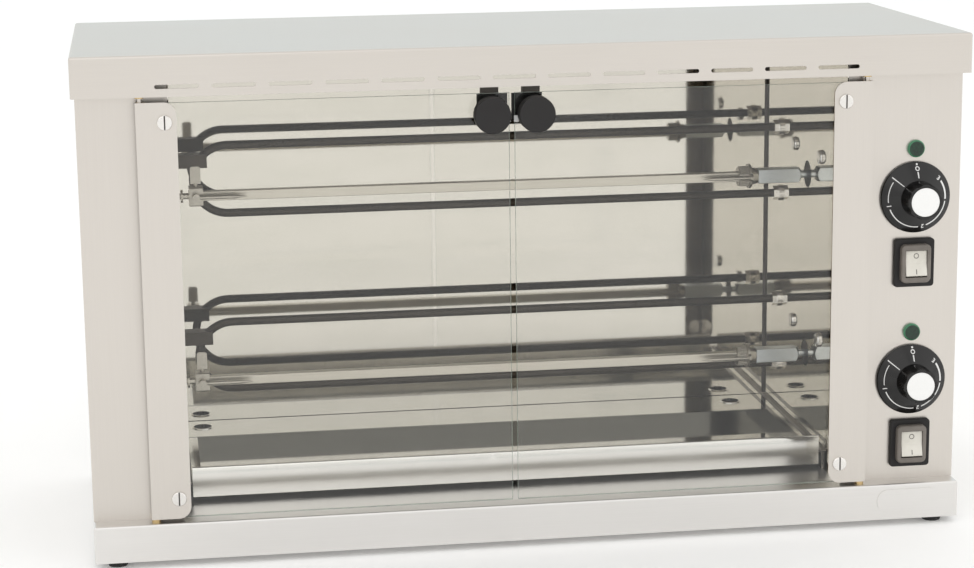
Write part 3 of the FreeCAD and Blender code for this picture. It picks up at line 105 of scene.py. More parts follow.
def math_node(tree, operation, *values):
    """One Math node; each value is a number or another node's output."""
    node = tree.nodes.new("ShaderNodeMath")
    node.operation = operation
    for socket, value in zip(node.inputs, values):
        if isinstance(value, (int, float)):
            socket.default_value = value
        else:
            tree.links.new(value, socket)
    return node.outputs[0]


def axes_of(tree, space):
    """The X, Y and Z of the object's own coordinates or of its normal."""
    coords = tree.nodes.new("ShaderNodeTexCoord")
    split = tree.nodes.new("ShaderNodeSeparateXYZ")
    tree.links.new(coords.outputs[space], split.inputs[0])
    return [split.outputs[axis] for axis in "XYZ"]


def mix_shaders(tree, factor, first, second):
    node = tree.nodes.new("ShaderNodeMixShader")
    tree.links.new(factor, node.inputs[0])
    tree.links.new(first, node.inputs[1])
    tree.links.new(second, node.inputs[2])
    return node.outputs[0]


def add_noise(tree, stretch, scale, detail=3.0, rough=0.55):
    """Noise in the object's own space, stretched by a scale on each axis."""
    coords = tree.nodes.new("ShaderNodeTexCoord")
    mapping = tree.nodes.new("ShaderNodeMapping")
    mapping.inputs["Scale"].default_value = stretch
    noise = tree.nodes.new("ShaderNodeTexNoise")
    noise.inputs["Scale"].default_value = scale
    noise.inputs["Detail"].default_value = detail
    noise.inputs["Roughness"].default_value = rough
    tree.links.new(coords.outputs["Object"], mapping.inputs["Vector"])
    tree.links.new(mapping.outputs[0], noise.inputs["Vector"])
    return noise.outputs["Fac"]


def remap(tree, value, low, high, start=0.25, end=0.75):
    node = tree.nodes.new("ShaderNodeMapRange")
    node.inputs["From Min"].default_value = start
    node.inputs["From Max"].default_value = end
    node.inputs["To Min"].default_value = low
    node.inputs["To Max"].default_value = high
    tree.links.new(value, node.inputs["Value"])
    return node.outputs[0]


def mix_colors(tree, factor, dark, light):
    node = tree.nodes.new("ShaderNodeMix")
    node.data_type = "RGBA"
    node.inputs["A"].default_value = (*dark, 1)
    node.inputs["B"].default_value = (*light, 1)
    tree.links.new(factor, node.inputs["Factor"])
    return node.outputs["Result"]


def add_bump(tree, shader, height, strength, distance):
    bump = tree.nodes.new("ShaderNodeBump")
    bump.inputs["Strength"].default_value = strength
    bump.inputs["Distance"].default_value = distance
    tree.links.new(height, bump.inputs["Height"])
    tree.links.new(bump.outputs[0], shader.inputs["Normal"])


ALONG_X, ALONG_Z = (1, 90, 90), (90, 90, 1)    # the grain's direction
EVEN = (1, 1, 1)                # noise that is not stretched along any axis
FINE_SHARE = 0.55               # of the fine grain in the mix with the broad smudges
GRAIN_DEPTH = 0.0004
WAVE_DEPTH = 0.004
SPECK_DEPTH = 0.0003


def brushed_metal(name, dark, light, stretch, rough=(0.26, 0.40), grain=0.05, metallic=1.0):
    """Sheet or bar with a fine directional grain and broad faint smudges."""
    material, tree, shader = new_material(name)
    shader.inputs["Metallic"].default_value = metallic
    fine = add_noise(tree, stretch, 12.0, 4.0, 0.7)
    broad = add_noise(tree, EVEN, 4.0, 2.0)
    smudges = math_node(tree, "MULTIPLY", broad, 1 - FINE_SHARE)
    mixed = math_node(tree, "MULTIPLY_ADD", fine, FINE_SHARE, smudges)
    tree.links.new(mix_colors(tree, remap(tree, mixed, 0, 1), dark, light), shader.inputs["Base Color"])
    tree.links.new(remap(tree, mixed, *rough), shader.inputs["Roughness"])
    add_bump(tree, shader, fine, grain, GRAIN_DEPTH)
    return material


def mirror_metal(name, dark, light, wave, rough):
    """Mirror-finish sheet: nearly sharp reflections, faint wipe marks and a slow waviness."""
    material, tree, shader = new_material(name)
    shader.inputs["Metallic"].default_value = 1.0
    smudge = add_noise(tree, (3, 3, 9), 3.0, 5.0, 0.65)
    tree.links.new(mix_colors(tree, remap(tree, smudge, 0, 1), dark, light), shader.inputs["Base Color"])
    tree.links.new(remap(tree, smudge, *rough), shader.inputs["Roughness"])
    slow = add_noise(tree, EVEN, 5.0, 1.0)
    add_bump(tree, shader, slow, wave, WAVE_DEPTH)
    return material


def between(tree, value, low, high):
    """1 where a value lies between two limits, otherwise 0."""
    above = math_node(tree, "GREATER_THAN", value, low)
    below = math_node(tree, "LESS_THAN", value, high)
    return math_node(tree, "MULTIPLY", above, below)


def over(tree, factor, under, color):
    """A flat colour laid over another colour where the factor is 1."""
    node = tree.nodes.new("ShaderNodeMix")
    node.data_type = "RGBA"
    tree.links.new(factor, node.inputs["Factor"])
    tree.links.new(under, node.inputs["A"])
    node.inputs["B"].default_value = (*color, 1)
    return node.outputs["Result"]


TRAY_FAR = 1.0                  # beyond the tray in every direction
TRAY_FRONT_WALL_Y = -0.0885     # the front wall and its hem lie ahead of this
TRAY_FLOOR_TOP_Z = 0.0525
TRAY_STEP = (0.1015, 0.1050)    # the bend between the well and the shelf, along Y
TRAY_SIDE_X = (0.3445, 0.3505)  # the strip of the right flange painted dark as shade
TRAY_COLLAR_Z = 0.0682          # the rolled collars stand above this
TRAY_FRONT_SATIN = 0.04         # how much rougher the front wall is
TRAY_DARK, TRAY_LIGHT = (0.70, 0.70, 0.67), (0.80, 0.795, 0.765)
# The well's tint is the steel's own tone; the bend and the strip of the right flange get painted shade.
TRAY_WELL_TINT, TRAY_BEND_SHADE, TRAY_SIDE_SHADE = (0.74, 0.74, 0.71), (0.15, 0.145, 0.13), (0.13, 0.12, 0.105)
# The collars get a painted highlight; the front wall is painted lighter, standing in for light.
TRAY_COLLAR_HIGHLIGHT, TRAY_FRONT_PAINTED_LIGHT = (0.93, 0.92, 0.89), (0.93, 0.92, 0.895)


def tray_steel():
    """Pressed tray with painted light and shade: a front wall painted lighter as if lit, painted shade in the
    bend and on a strip of the right flange, and painted highlights on the rolled collars.
    """
    material = mirror_metal("tray_steel", TRAY_DARK, TRAY_LIGHT, 0.01, (0.05, 0.12))
    tree = material.node_tree
    shader = next(n for n in tree.nodes if n.type == "BSDF_PRINCIPLED")
    color = shader.inputs["Base Color"].links[0].from_socket
    rough = shader.inputs["Roughness"].links[0].from_socket
    x, y, z = axes_of(tree, "Object")
    front = between(tree, y, -TRAY_FAR, TRAY_FRONT_WALL_Y)
    behind = between(tree, y, TRAY_FRONT_WALL_Y, TRAY_FAR)
    bend = between(tree, y, *TRAY_STEP)
    # side masks the right flange strip that gets painted shade; collar masks the painted highlight.
    well, side, collar = (math_node(tree, "MULTIPLY", behind, between(tree, value, low, high))
                          for value, low, high in ((z, -TRAY_FAR, TRAY_FLOOR_TOP_Z), (x, *TRAY_SIDE_X),
                                                   (z, TRAY_COLLAR_Z, TRAY_FAR)))
    for zone, tint in ((well, TRAY_WELL_TINT), (bend, TRAY_BEND_SHADE), (side, TRAY_SIDE_SHADE),
                       (collar, TRAY_COLLAR_HIGHLIGHT), (front, TRAY_FRONT_PAINTED_LIGHT)):
        color = over(tree, zone, color, tint)
    tree.links.new(color, shader.inputs["Base Color"])
    satin = math_node(tree, "MULTIPLY_ADD", front, TRAY_FRONT_SATIN, rough)
    tree.links.new(satin, shader.inputs["Roughness"])
    return material


SHADE_PATCH_SPREAD = 1.5             # how much lighter the lightest patches of the painted shade on the door plates' inner faces and edges are


def door_steel(name, dark, light, shade_tone):
    """Satin sheet whose inner face and side edges are painted a dark brown shade, standing in for the shadow
    behind the glass and in the gaps beside the plate.
    """
    material = brushed_metal(name, dark, light, ALONG_Z)
    tree = material.node_tree
    shader = next(n for n in tree.nodes if n.type == "BSDF_PRINCIPLED")
    out = next(n for n in tree.nodes if n.type == "OUTPUT_MATERIAL")
    inner = tree.nodes.new("ShaderNodeBsdfPrincipled")
    cloud = add_noise(tree, EVEN, 30.0)
    shade = tuple(SHADE_PATCH_SPREAD * c for c in shade_tone)
    tree.links.new(mix_colors(tree, remap(tree, cloud, 0, 1), shade_tone, shade), inner.inputs["Base Color"])
    inner.inputs["Roughness"].default_value = 0.7
    # Painted shade: faces turned sideways or toward the inside get the dark tone.
    across, inward, _ = axes_of(tree, "Normal")
    shaded_faces = math_node(tree, "MAXIMUM", math_node(tree, "ABSOLUTE", across), inward)
    which = mix_shaders(tree, remap(tree, shaded_faces, 0, 1, 0.8, 0.95), shader.outputs[0], inner.outputs[0])
    tree.links.new(which, out.inputs["Surface"])
    return material


def plain_plastic(name, dark, light, rough, speck=900.0, grain=0.06, coat=0.0):
    """Moulded plastic or rubber with a fine texture and slightly uneven gloss."""
    material, tree, shader = new_material(name)
    speckle = add_noise(tree, EVEN, speck, 2.0)
    broad = add_noise(tree, EVEN, 40.0, 2.0)
    tree.links.new(mix_colors(tree, remap(tree, broad, 0, 1), dark, light), shader.inputs["Base Color"])
    tree.links.new(remap(tree, broad, *rough), shader.inputs["Roughness"])
    shader.inputs["Coat Weight"].default_value = coat
    shader.inputs["Coat Roughness"].default_value = 0.08
    add_bump(tree, shader, speckle, grain, SPECK_DEPTH)
    return material


GLASS_SHINE = 0.04              # share of light a face reflects when seen square on
GLASS_STEEPNESS = 5.0           # how late the shine grows as the face slants
GLASS_CLEAR = (0.985, 0.985, 0.978, 1)
GLASS_EDGE_DARK, GLASS_EDGE_LIGHT = (0.30, 0.36, 0.32), (0.50, 0.56, 0.50)


def door_glass():
    """Clear float glass: see-through faces, a shine that grows with the slant, green ground edges."""
    material = bpy.data.materials.new("door_glass")
    material.use_nodes = True
    tree = material.node_tree
    tree.nodes.clear()
    out = tree.nodes.new("ShaderNodeOutputMaterial")
    clear = tree.nodes.new("ShaderNodeBsdfTransparent")
    clear.inputs["Color"].default_value = GLASS_CLEAR
    shine = tree.nodes.new("ShaderNodeBsdfGlossy")
    shine.inputs["Roughness"].default_value = 0.02
    slant = tree.nodes.new("ShaderNodeLayerWeight")
    slant.inputs["Blend"].default_value = 0.5
    steep = math_node(tree, "POWER", slant.outputs["Facing"], GLASS_STEEPNESS)
    share = math_node(tree, "MULTIPLY_ADD", steep, 1 - GLASS_SHINE, GLASS_SHINE)
    face = mix_shaders(tree, share, clear.outputs[0], shine.outputs[0])
    edge = tree.nodes.new("ShaderNodeBsdfPrincipled")
    cloud = remap(tree, add_noise(tree, EVEN, 60.0), 0, 1)
    tree.links.new(mix_colors(tree, cloud, GLASS_EDGE_DARK, GLASS_EDGE_LIGHT), edge.inputs["Base Color"])
    edge.inputs["Roughness"].default_value = 0.25
    edge.inputs["Alpha"].default_value = 0.75
    flat = math_node(tree, "ABSOLUTE", axes_of(tree, "Normal")[1])
    which = mix_shaders(tree, remap(tree, flat, 1, 0, 0.55, 0.75), face, edge.outputs[0])
    tree.links.new(which, out.inputs["Surface"])
    return material


def green_lens():
    """Ribbed green plastic: a dark core seen square on and a lighter rim."""
    material, tree, shader = new_material("green_lens")
    ribs = add_noise(tree, EVEN, 420.0, 1.0)
    core = mix_colors(tree, remap(tree, ribs, 0, 1), (0.002, 0.012, 0.006), (0.005, 0.040, 0.018))
    frontness = remap(tree, axes_of(tree, "Normal")[1], 1, 0, -0.98, -0.80)
    lens = tree.nodes.new("ShaderNodeMix")
    lens.data_type = "RGBA"
    lens.inputs["A"].default_value = (0.05, 0.22, 0.11, 1)
    tree.links.new(core, lens.inputs["B"])
    tree.links.new(frontness, lens.inputs["Factor"])
    tree.links.new(lens.outputs["Result"], shader.inputs["Base Color"])
    shader.inputs["Roughness"].default_value = 0.3
    shader.inputs["Coat Weight"].default_value = 0.15
    shader.inputs["Coat Roughness"].default_value = 0.05
    add_bump(tree, shader, ribs, 0.25, 0.0006)
    return material


WARM_DARK, WARM_LIGHT = (0.64, 0.60, 0.555), (0.685, 0.648, 0.602)
MATERIALS = {
    "satin_x": brushed_metal("satin_x", WARM_DARK, WARM_LIGHT, ALONG_X),
    "base_steel": brushed_metal("base_steel", (0.745, 0.73, 0.71), (0.80, 0.785, 0.765), ALONG_X),
    "satin_z": brushed_metal("satin_z", WARM_DARK, WARM_LIGHT, ALONG_Z),
    # door_steel's last colour is painted shade for the plates' inner faces and edges.
    "door_steel": door_steel("door_steel", WARM_DARK, WARM_LIGHT, (0.13, 0.095, 0.062)),
    "mirror": mirror_metal("mirror", (0.64, 0.615, 0.555), (0.685, 0.655, 0.60), 0.008, (0.03, 0.06)),
    "tray_steel": tray_steel(),
    "glass": door_glass(),
    "black_plastic": plain_plastic("black_plastic", (0.006, 0.005, 0.005), (0.011, 0.009, 0.009),
                                   (0.55, 0.7)),
    "dial_black": plain_plastic("dial_black", (0.003, 0.003, 0.003), (0.006, 0.005, 0.005), (0.16, 0.26),
                                grain=0.02),
    "dial_cap": brushed_metal("dial_cap", (0.80, 0.80, 0.79), (0.93, 0.93, 0.92), (60, 60, 60),
                              (0.30, 0.42), 0.02),
    "element": brushed_metal("element", (0.035, 0.029, 0.022), (0.085, 0.070, 0.055), (14, 60, 60),
                             (0.38, 0.6), 0.25, 0.85),
    # Painted shade: the element brackets get a dark brown colour standing in for the shadow they sit in.
    "shaded_bracket": brushed_metal("shaded_bracket", (0.05, 0.043, 0.035), (0.15, 0.125, 0.10), (30, 30, 30),
                                   (0.45, 0.65), 0.2, 0.8),
    "spit": brushed_metal("spit", (0.50, 0.465, 0.40), (0.66, 0.625, 0.55), ALONG_X, (0.24, 0.4), 0.08),
    "fork": brushed_metal("fork", (0.34, 0.315, 0.27), (0.60, 0.565, 0.50), (40, 40, 40), (0.22, 0.42), 0.15),
    "zinc": brushed_metal("zinc", (0.62, 0.66, 0.67), (0.86, 0.89, 0.90), (20, 60, 60), (0.28, 0.42), 0.1),
    "bright_screw": brushed_metal("bright_screw", (0.70, 0.68, 0.65), (0.90, 0.88, 0.85), (50, 50, 50),
                                  (0.14, 0.28), 0.05),
    "brass": brushed_metal("brass", (0.50, 0.36, 0.17), (0.72, 0.55, 0.30), (50, 50, 20), (0.25, 0.4), 0.05),
    "catch_plastic": plain_plastic("catch_plastic", (0.05, 0.042, 0.035), (0.09, 0.078, 0.066), (0.45, 0.6)),
    "rubber": plain_plastic("rubber", (0.012, 0.012, 0.012), (0.03, 0.03, 0.03), (0.6, 0.8), 500.0, 0.2),
    "green_lens": green_lens(),
    "rocker": plain_plastic("rocker", (0.60, 0.575, 0.51), (0.74, 0.715, 0.65), (0.22, 0.34),
                            200.0, 0.03, 0.3),
    "ring_grey": plain_plastic("ring_grey", (0.13, 0.115, 0.10), (0.20, 0.178, 0.158), (0.38, 0.5)),
    "dark_rail": brushed_metal("dark_rail", (0.10, 0.09, 0.08), (0.20, 0.185, 0.165), ALONG_X,
                               (0.3, 0.45), 0.05),
    "dark_steel": brushed_metal("dark_steel", (0.012, 0.012, 0.012), (0.035, 0.034, 0.033), ALONG_Z,
                                (0.35, 0.5), 0.05, 0.6),
    "motor_paint": plain_plastic("motor_paint", (0.16, 0.165, 0.17), (0.24, 0.245, 0.25), (0.4, 0.55),
                                 300.0, 0.15),
    "terminal": plain_plastic("terminal", (0.62, 0.60, 0.54), (0.74, 0.72, 0.67), (0.3, 0.4)),
    "print_white": plain_plastic("print_white", (0.72, 0.72, 0.71), (0.84, 0.84, 0.83), (0.4, 0.5)),
    # Dark print for the rocker marks; the same colour paints shade on the chamber's corner strip and in the
    # screw slots.
    "dark_print_and_shade": plain_plastic("dark_print_and_shade", (0.05, 0.045, 0.04), (0.09, 0.08, 0.07), (0.4, 0.5)),
}

NODE_MATERIALS = {
    "satin_x": ["top_cover", "rear_panel"],
    "base_steel": ["base_plinth", "badge_plate"],
    "dark_rail": ["tray_rails"],
    "satin_z": ["left_outer_panel", "right_outer_panel", "control_panel", "spit_brackets", "motor_brackets"],
    "door_steel": ["left_door_plate", "right_door_plate"],
    "mirror": ["chamber_left_wall", "chamber_right_wall", "chamber_back_wall"],
    "tray_steel": ["drip_tray"],
    "glass": ["left_door_glass", "right_door_glass"],
    "black_plastic": ["left_door_knob", "right_door_knob", "switch_housings", "energy_regulators",
                      "cable_gland"],
    "dial_black": ["upper_dial", "lower_dial"],
    "catch_plastic": ["magnet_catches"],
    "dial_cap": ["upper_dial_cap", "lower_dial_cap"],
    "element": ["upper_heating_element", "lower_heating_element"],
    "shaded_bracket": ["element_brackets"],
    "spit": ["upper_spit_bar", "lower_spit_bar"],
    "fork": ["upper_left_fork", "upper_right_fork", "lower_left_fork", "lower_right_fork"],
    "zinc": ["upper_drive_socket", "lower_drive_socket", "pilot_bodies"],
    "bright_screw": ["case_screws", "motor_screws", "element_nuts", "left_door_screws", "right_door_screws",
                     "left_door_clamps", "right_door_clamps"],
    "brass": ["lower_hinge_bushes", "upper_hinge_bushes"],
    "rubber": ["rubber_feet"],
    "green_lens": ["pilot_lenses"],
    "rocker": ["upper_rocker", "lower_rocker"],
    "ring_grey": ["switch_rings"],
    "dark_steel": ["left_door_strike", "right_door_strike"],
    "motor_paint": ["gear_motors"],
    "terminal": ["terminal_block"],
}


def dress_nodes():
    for material, names in NODE_MATERIALS.items():
        for name in names:
            mesh = nodes[name].data
            mesh.materials.clear()
            mesh.materials.append(MATERIALS[material])


# ---------------------------------------------------------------- pieces made here
def add_piece(name, mesh, material, body):
    piece = bpy.data.objects.new(name, mesh)
    mesh.materials.clear()
    mesh.materials.append(MATERIALS[material])
    bpy.context.scene.collection.objects.link(piece)
    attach(piece, body)


def finished_mesh(bm, name):
    """The mesh of a closed solid, with its faces turned outward."""
    bmesh.ops.recalc_face_normals(bm, faces=bm.faces)
    mesh = bpy.data.meshes.new(name)
    bm.to_mesh(mesh)
    bm.free()
    return mesh


def centre_of(node):
    low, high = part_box(node)
    return (low + high) / 2


DIAL_HUB_R, DIAL_HUB_DEPTH = 0.021, 0.024      # where the skirt starts, behind the dial's face
DIAL_EDGE_R, DIAL_EDGE_DEPTH = 0.040, 0.036    # where the skirt ends
PRINT_LIFT, PRINT_THICK = 0.00005, 0.00015
CLAMP_HEAD_R = 0.0085


def on_skirt(radius, angle, centre, front, lift):
    """A point on the dial's cone; the angle runs clockwise from the top, seen from the front."""
    slope = (DIAL_EDGE_DEPTH - DIAL_HUB_DEPTH) / (DIAL_EDGE_R - DIAL_HUB_R)
    depth = DIAL_HUB_DEPTH + slope * (radius - DIAL_HUB_R) - lift
    return Vector((centre.x + radius * math.sin(angle), front + depth, centre.z + radius * math.cos(angle)))


def skirt_patch(bm, outline, centre, front):
    """A thin printed patch: the outline's (radius, angle) pairs, closed, laid on the cone."""
    top = [bm.verts.new(on_skirt(r, a, centre, front, PRINT_LIFT + PRINT_THICK)) for r, a in outline]
    base = [bm.verts.new(on_skirt(r, a, centre, front, PRINT_LIFT)) for r, a in outline]
    count = len(outline)
    for k in range(count):
        n = (k + 1) % count
        bm.faces.new((top[k], top[n], base[n], base[k]))
    half = count // 2
    for k in range(half - 1):
        bm.faces.new((top[k], top[k + 1], top[count - 2 - k], top[count - 1 - k]))
        bm.faces.new((base[count - 1 - k], base[count - 2 - k], base[k + 1], base[k]))


def arc_outline(r0, r1, a0, a1, steps):
    angles = [a0 + (a1 - a0) * k / steps for k in range(steps + 1)]
    return [(r1, a) for a in angles] + [(r0, a) for a in reversed(angles)]


def stroke_outline(start, end, width):
    """A straight stroke between two (sideways, outward) points on the skirt, as (radius, angle) pairs."""
    (x0, y0), (x1, y1) = start, end
    length = math.hypot(x1 - x0, y1 - y0)
    nx, ny = -(y1 - y0) / length * width / 2, (x1 - x0) / length * width / 2
    corners = [(x0 + nx, y0 + ny), (x1 + nx, y1 + ny), (x1 - nx, y1 - ny), (x0 - nx, y0 - ny)]
    return [(math.hypot(x, y), math.atan2(x, y)) for x, y in corners]


PRINT_R = 0.0335                # the circle that the digits and arcs are printed on
ZERO_R, ZERO_OUTER, ZERO_INNER = 0.0336, 0.0026, 0.0016
ZERO_SIDES = 12
TICK_HALF = math.radians(1.5)
TICKS = ((0.0235, 0.0300), (0.0372, 0.0392))        # inside and outside the zero
MARK_R, MARK_ANGLES = (0.0225, 0.0375), (-51.0, -49.0)
DIGITS = (("1", -105), ("2", 167), ("3", 48))
ARCS = ((-56, -98, 0.0008), (-112, -184, 0.0012), (160, 98, 0.0016), (94, 56, 0.0022))   # from, to, width
ARC_STEPS = 16
DIGIT_SIZE, DIGIT_WIDTH = 0.0023, 0.0010
DIGIT_STROKES = {               # each digit as strokes in a box 1 wide and 2 high
    "1": [((0.0, -1.0), (0.0, 1.0))],
    "2": [((-0.5, 0.9), (0.5, 0.9)), ((0.5, 1.0), (0.5, 0.1)),
          ((0.5, 0.1), (-0.5, -0.8)), ((-0.5, -0.9), (0.5, -0.9))],
    "3": [((-0.5, 0.9), (0.5, 0.9)), ((0.5, 1.0), (0.5, -1.0)),
          ((-0.3, 0.0), (0.5, 0.0)), ((-0.5, -0.9), (0.5, -0.9))],
}


def skirt_digit(bm, digit, angle, centre, front):
    """A digit that stands upright when its angle is at the top of the dial."""
    sin, cos = math.sin(angle), math.cos(angle)
    for start, end in DIGIT_STROKES[digit]:
        placed = []
        for x, y in (start, end):
            across, outward = x * DIGIT_SIZE, PRINT_R + y * DIGIT_SIZE
            placed.append((across * cos + outward * sin, -across * sin + outward * cos))
        skirt_patch(bm, stroke_outline(*placed, DIGIT_WIDTH), centre, front)


def dial_print(level):
    """White print on one dial: a ring numeral 0 with its tick, 1 to 3, and widening arcs between them."""
    centre = centre_of(level + "_dial_cap")
    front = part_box(level + "_dial")[0].y
    turn = math.radians
    bm = bmesh.new()
    for r0, r1 in TICKS:
        skirt_patch(bm, arc_outline(r0, r1, -TICK_HALF, TICK_HALF, 2), centre, front)
    step = 360 // ZERO_SIDES
    for a0 in range(0, 360, step):
        ring = [(ZERO_R + r * math.cos(turn(a0 + a)), r * math.sin(turn(a0 + a)) / ZERO_R)
                for r, a in ((ZERO_OUTER, 0), (ZERO_OUTER, step), (ZERO_INNER, step), (ZERO_INNER, 0))]
        skirt_patch(bm, ring, centre, front)
    skirt_patch(bm, arc_outline(*MARK_R, *map(turn, MARK_ANGLES), 2), centre, front)
    for digit, at in DIGITS:
        skirt_digit(bm, digit, turn(at), centre, front)
    for a0, a1, wide in ARCS:
        arc = arc_outline(PRINT_R - wide / 2, PRINT_R + wide / 2, turn(a0), turn(a1), ARC_STEPS)
        skirt_patch(bm, arc, centre, front)
    mesh = finished_mesh(bm, level + "_dial_print")
    add_piece(level + "_dial_print", mesh, "print_white", level + "_dial_body")


ROCKER_TILT = math.radians(8.0)
ROCKER_PIVOT_Y = -0.175
ROCKER_HALF, ROCKER_FACE_Y, ROCKER_DISH = 0.0142, -0.0057, 0.0014   # half height, end face and depth of the V
MARK_SINK, MARK_PROUD = 0.00018, 0.00015
RING_Z, RING_OUTER, RING_INNER, RING_SIDES = 0.0085, 0.0030, 0.0023, 28
BAR_HALF, BAR_Z = 0.0004, (-0.0125, -0.0070)


def rocker_marks(level):
    """The ring and the bar moulded into a rocker, laid just proud of its two faces."""
    centre = centre_of(level + "_rocker")
    pivot = Vector((centre.x, ROCKER_PIVOT_Y, centre.z))
    turn = Matrix.Rotation(-ROCKER_TILT, 4, "X")

    def face_point(x, z):
        """A point on the rocker's shallow V, before its tilt."""
        y = ROCKER_FACE_Y + ROCKER_DISH * (1 - abs(z) / ROCKER_HALF) - MARK_SINK
        return pivot + turn @ Vector((x, y, z))

    bm = bmesh.new()
    rims = []
    around = [2 * math.pi * k / RING_SIDES for k in range(RING_SIDES)]
    for radius in (RING_OUTER, RING_INNER):
        points = [(radius * math.sin(a), RING_Z + radius * math.cos(a)) for a in around]
        rims.append([bm.verts.new(face_point(x, z)) for x, z in points])
    for k in range(RING_SIDES):
        n = (k + 1) % RING_SIDES
        bm.faces.new((rims[0][k], rims[0][n], rims[1][n], rims[1][k]))
    bar = [(-BAR_HALF, BAR_Z[0]), (BAR_HALF, BAR_Z[0]), (BAR_HALF, BAR_Z[1]), (-BAR_HALF, BAR_Z[1])]
    bm.faces.new([bm.verts.new(face_point(x, z)) for x, z in bar])
    solid = bmesh.ops.extrude_face_region(bm, geom=bm.faces[:])
    lift = turn @ Vector((0, MARK_PROUD, 0))
    for v in solid["geom"]:
        if isinstance(v, bmesh.types.BMVert):
            v.co += lift
    mesh = finished_mesh(bm, level + "_rocker_marks")
    add_piece(level + "_rocker_marks", mesh, "dark_print_and_shade", level + "_rocker_body")


def box_mesh(name, boxes, bevel=0.0):
    """One mesh of separate boxes, each given by its low and high corner."""
    bm = bmesh.new()
    for low, high in boxes:
        low, high = Vector(low), Vector(high)
        middle = Matrix.Translation((low + high) / 2)
        size = Matrix.Diagonal((high - low).to_4d())
        bmesh.ops.create_cube(bm, size=1.0, matrix=middle @ size)
    if bevel:
        bmesh.ops.bevel(bm, geom=bm.edges[:], offset=bevel, segments=3, affect="EDGES", profile=0.5)
    mesh = bpy.data.meshes.new(name)
    bm.to_mesh(mesh)
    bm.free()
    return mesh


# A dark strip of painted shade in the chamber's back right corner: its width, depth and rounding.
CORNER_SHADE_WIDTH, CORNER_SHADE_DEPTH, CORNER_SHADE_ROUND = 0.0028, 0.0016, 0.0005
CORNER_SHADE_BELOW_TRAY, CORNER_SHADE_INTO_COVER = 0.016, 0.03    # past the tray's top edge and into the cover
# The thin dark strips on the screw slots' floors are painted shade.
SLOT_HALF_WIDTH, SLOT_HALF_LENGTH, SLOT_SINK, SLOT_SHADE_THICK = 0.0008, 0.0078, 0.0018, 0.0004
BUMPER_PROUD, BUMPER_GRIP, BUMPER_THICK, BUMPER_SINK = 0.0012, 0.004, 0.0015, 0.0003
BUMPER_ROUND = 0.0004
BUMPER_DROP = (0.003, 0.010)    # how far the bumper's top and bottom lie below the knob's centre


def corner_shade_strip():
    """A dark strip of painted shade along the chamber's back right corner."""
    wall_low, wall_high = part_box("chamber_back_wall")
    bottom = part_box("drip_tray")[1].z - CORNER_SHADE_BELOW_TRAY
    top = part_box("top_cover")[0].z + CORNER_SHADE_INTO_COVER
    bead = [((wall_high.x - CORNER_SHADE_WIDTH, wall_low.y - CORNER_SHADE_DEPTH, bottom), (wall_high.x, wall_low.y, top))]
    mesh = box_mesh("corner_shade_strip", bead, CORNER_SHADE_ROUND)
    add_piece("corner_shade_strip", mesh, "dark_print_and_shade", "cabinet")


def door_details(side, body):
    """Painted shade in the slots of the clamp screws, as thin dark strips on the slot floors, and the white
    bumper on the glass's free edge.
    """
    low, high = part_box(side + "_door_screws")
    x, front = (low.x + high.x) / 2, low.y
    slots = []
    for z in (low.z + CLAMP_HEAD_R, high.z - CLAMP_HEAD_R):
        slots.append(((x - SLOT_HALF_WIDTH, front + SLOT_SINK - SLOT_SHADE_THICK, z - SLOT_HALF_LENGTH),
                      (x + SLOT_HALF_WIDTH, front + SLOT_SINK, z + SLOT_HALF_LENGTH)))
    # Painted shade: a thin dark strip on each slot's floor.
    slot_shade_mesh = box_mesh(side + "_slot_shade", slots)
    add_piece(side + "_slot_shade", slot_shade_mesh, "dark_print_and_shade", body)
    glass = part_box(side + "_door_glass")
    knob_z = centre_of(side + "_door_knob").z
    edge = glass[1].x if side == "left" else glass[0].x
    inward = -1 if side == "left" else 1
    xs = sorted((edge - inward * BUMPER_PROUD, edge + inward * BUMPER_GRIP))
    pad = [((xs[0], glass[0].y - BUMPER_THICK, knob_z - BUMPER_DROP[1]),
            (xs[1], glass[0].y + BUMPER_SINK, knob_z - BUMPER_DROP[0]))]
    bumper = box_mesh(side + "_bumper", pad, BUMPER_ROUND)
    add_piece(side + "_bumper", bumper, "print_white", body)


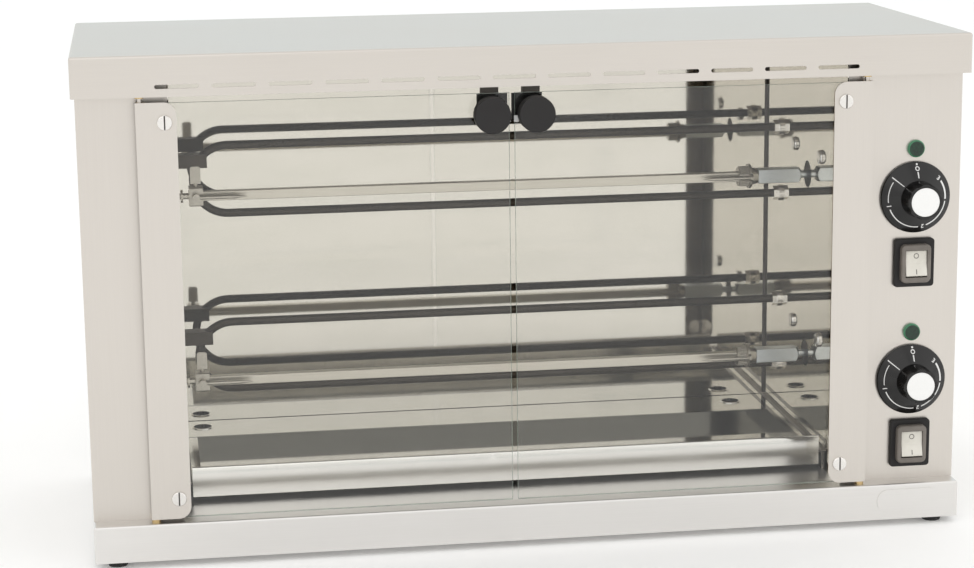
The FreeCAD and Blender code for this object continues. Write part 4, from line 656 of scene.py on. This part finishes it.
# ---------------------------------------------------------------- studio
FLOOR_HALF, FLOOR_GLOW = 9, 0.12
FLOOR_DARK, FLOOR_LIGHT = (0.91, 0.91, 0.905), (0.93, 0.93, 0.925)
CARD_HALF, CARD_Y, CARD_Z = 6, 7.2, (1.1, 4.2)      # a cool card far behind, reflected by the cover's top
CARD_DARK, CARD_LIGHT = (0.82, 0.90, 0.93), (0.85, 0.93, 0.96)


def stage_plane(name, corners, material):
    mesh = bpy.data.meshes.new(name)
    mesh.from_pydata(corners, [], [(0, 1, 2, 3)])
    mesh.materials.append(material)
    plane = bpy.data.objects.new(name, mesh)
    bpy.context.scene.collection.objects.link(plane)


def paper(name, dark, light, glow=0.0):
    material, tree, shader = new_material(name)
    fibre = add_noise(tree, EVEN, 30.0, 6.0)
    tint = mix_colors(tree, remap(tree, fibre, 0, 1), dark, light)
    tree.links.new(tint, shader.inputs["Base Color"])
    tree.links.new(tint, shader.inputs["Emission Color"])
    shader.inputs["Emission Strength"].default_value = glow
    shader.inputs["Roughness"].default_value = 0.8
    return material


def add_studio():
    floor = paper("floor_paper", FLOOR_DARK, FLOOR_LIGHT, FLOOR_GLOW)
    square = ((-1, -1), (1, -1), (1, 1), (-1, 1))
    stage_plane("floor", [(x * FLOOR_HALF, y * FLOOR_HALF, 0) for x, y in square], floor)
    card = paper("cool_card", CARD_DARK, CARD_LIGHT)
    low, high = CARD_Z
    stage_plane("cool_card", [(-CARD_HALF, CARD_Y, low), (CARD_HALF, CARD_Y, low),
                              (CARD_HALF, CARD_Y, high), (-CARD_HALF, CARD_Y, high)], card)
    area_light("key", KEY_AT, KEY_SIZE, KEY_POWER)
    area_light("fill", FILL_AT, FILL_SIZE, FILL_POWER)


add_camera()
add_world()
add_studio()
dress_nodes()
for control_level in ("upper", "lower"):
    dial_print(control_level)
    rocker_marks(control_level)
corner_shade_strip()
for door_side in ("left", "right"):
    door_details(door_side, door_side + "_door")

bpy.context.scene.view_settings.view_transform = "Standard"
bpy.context.scene.view_settings.look = "None"
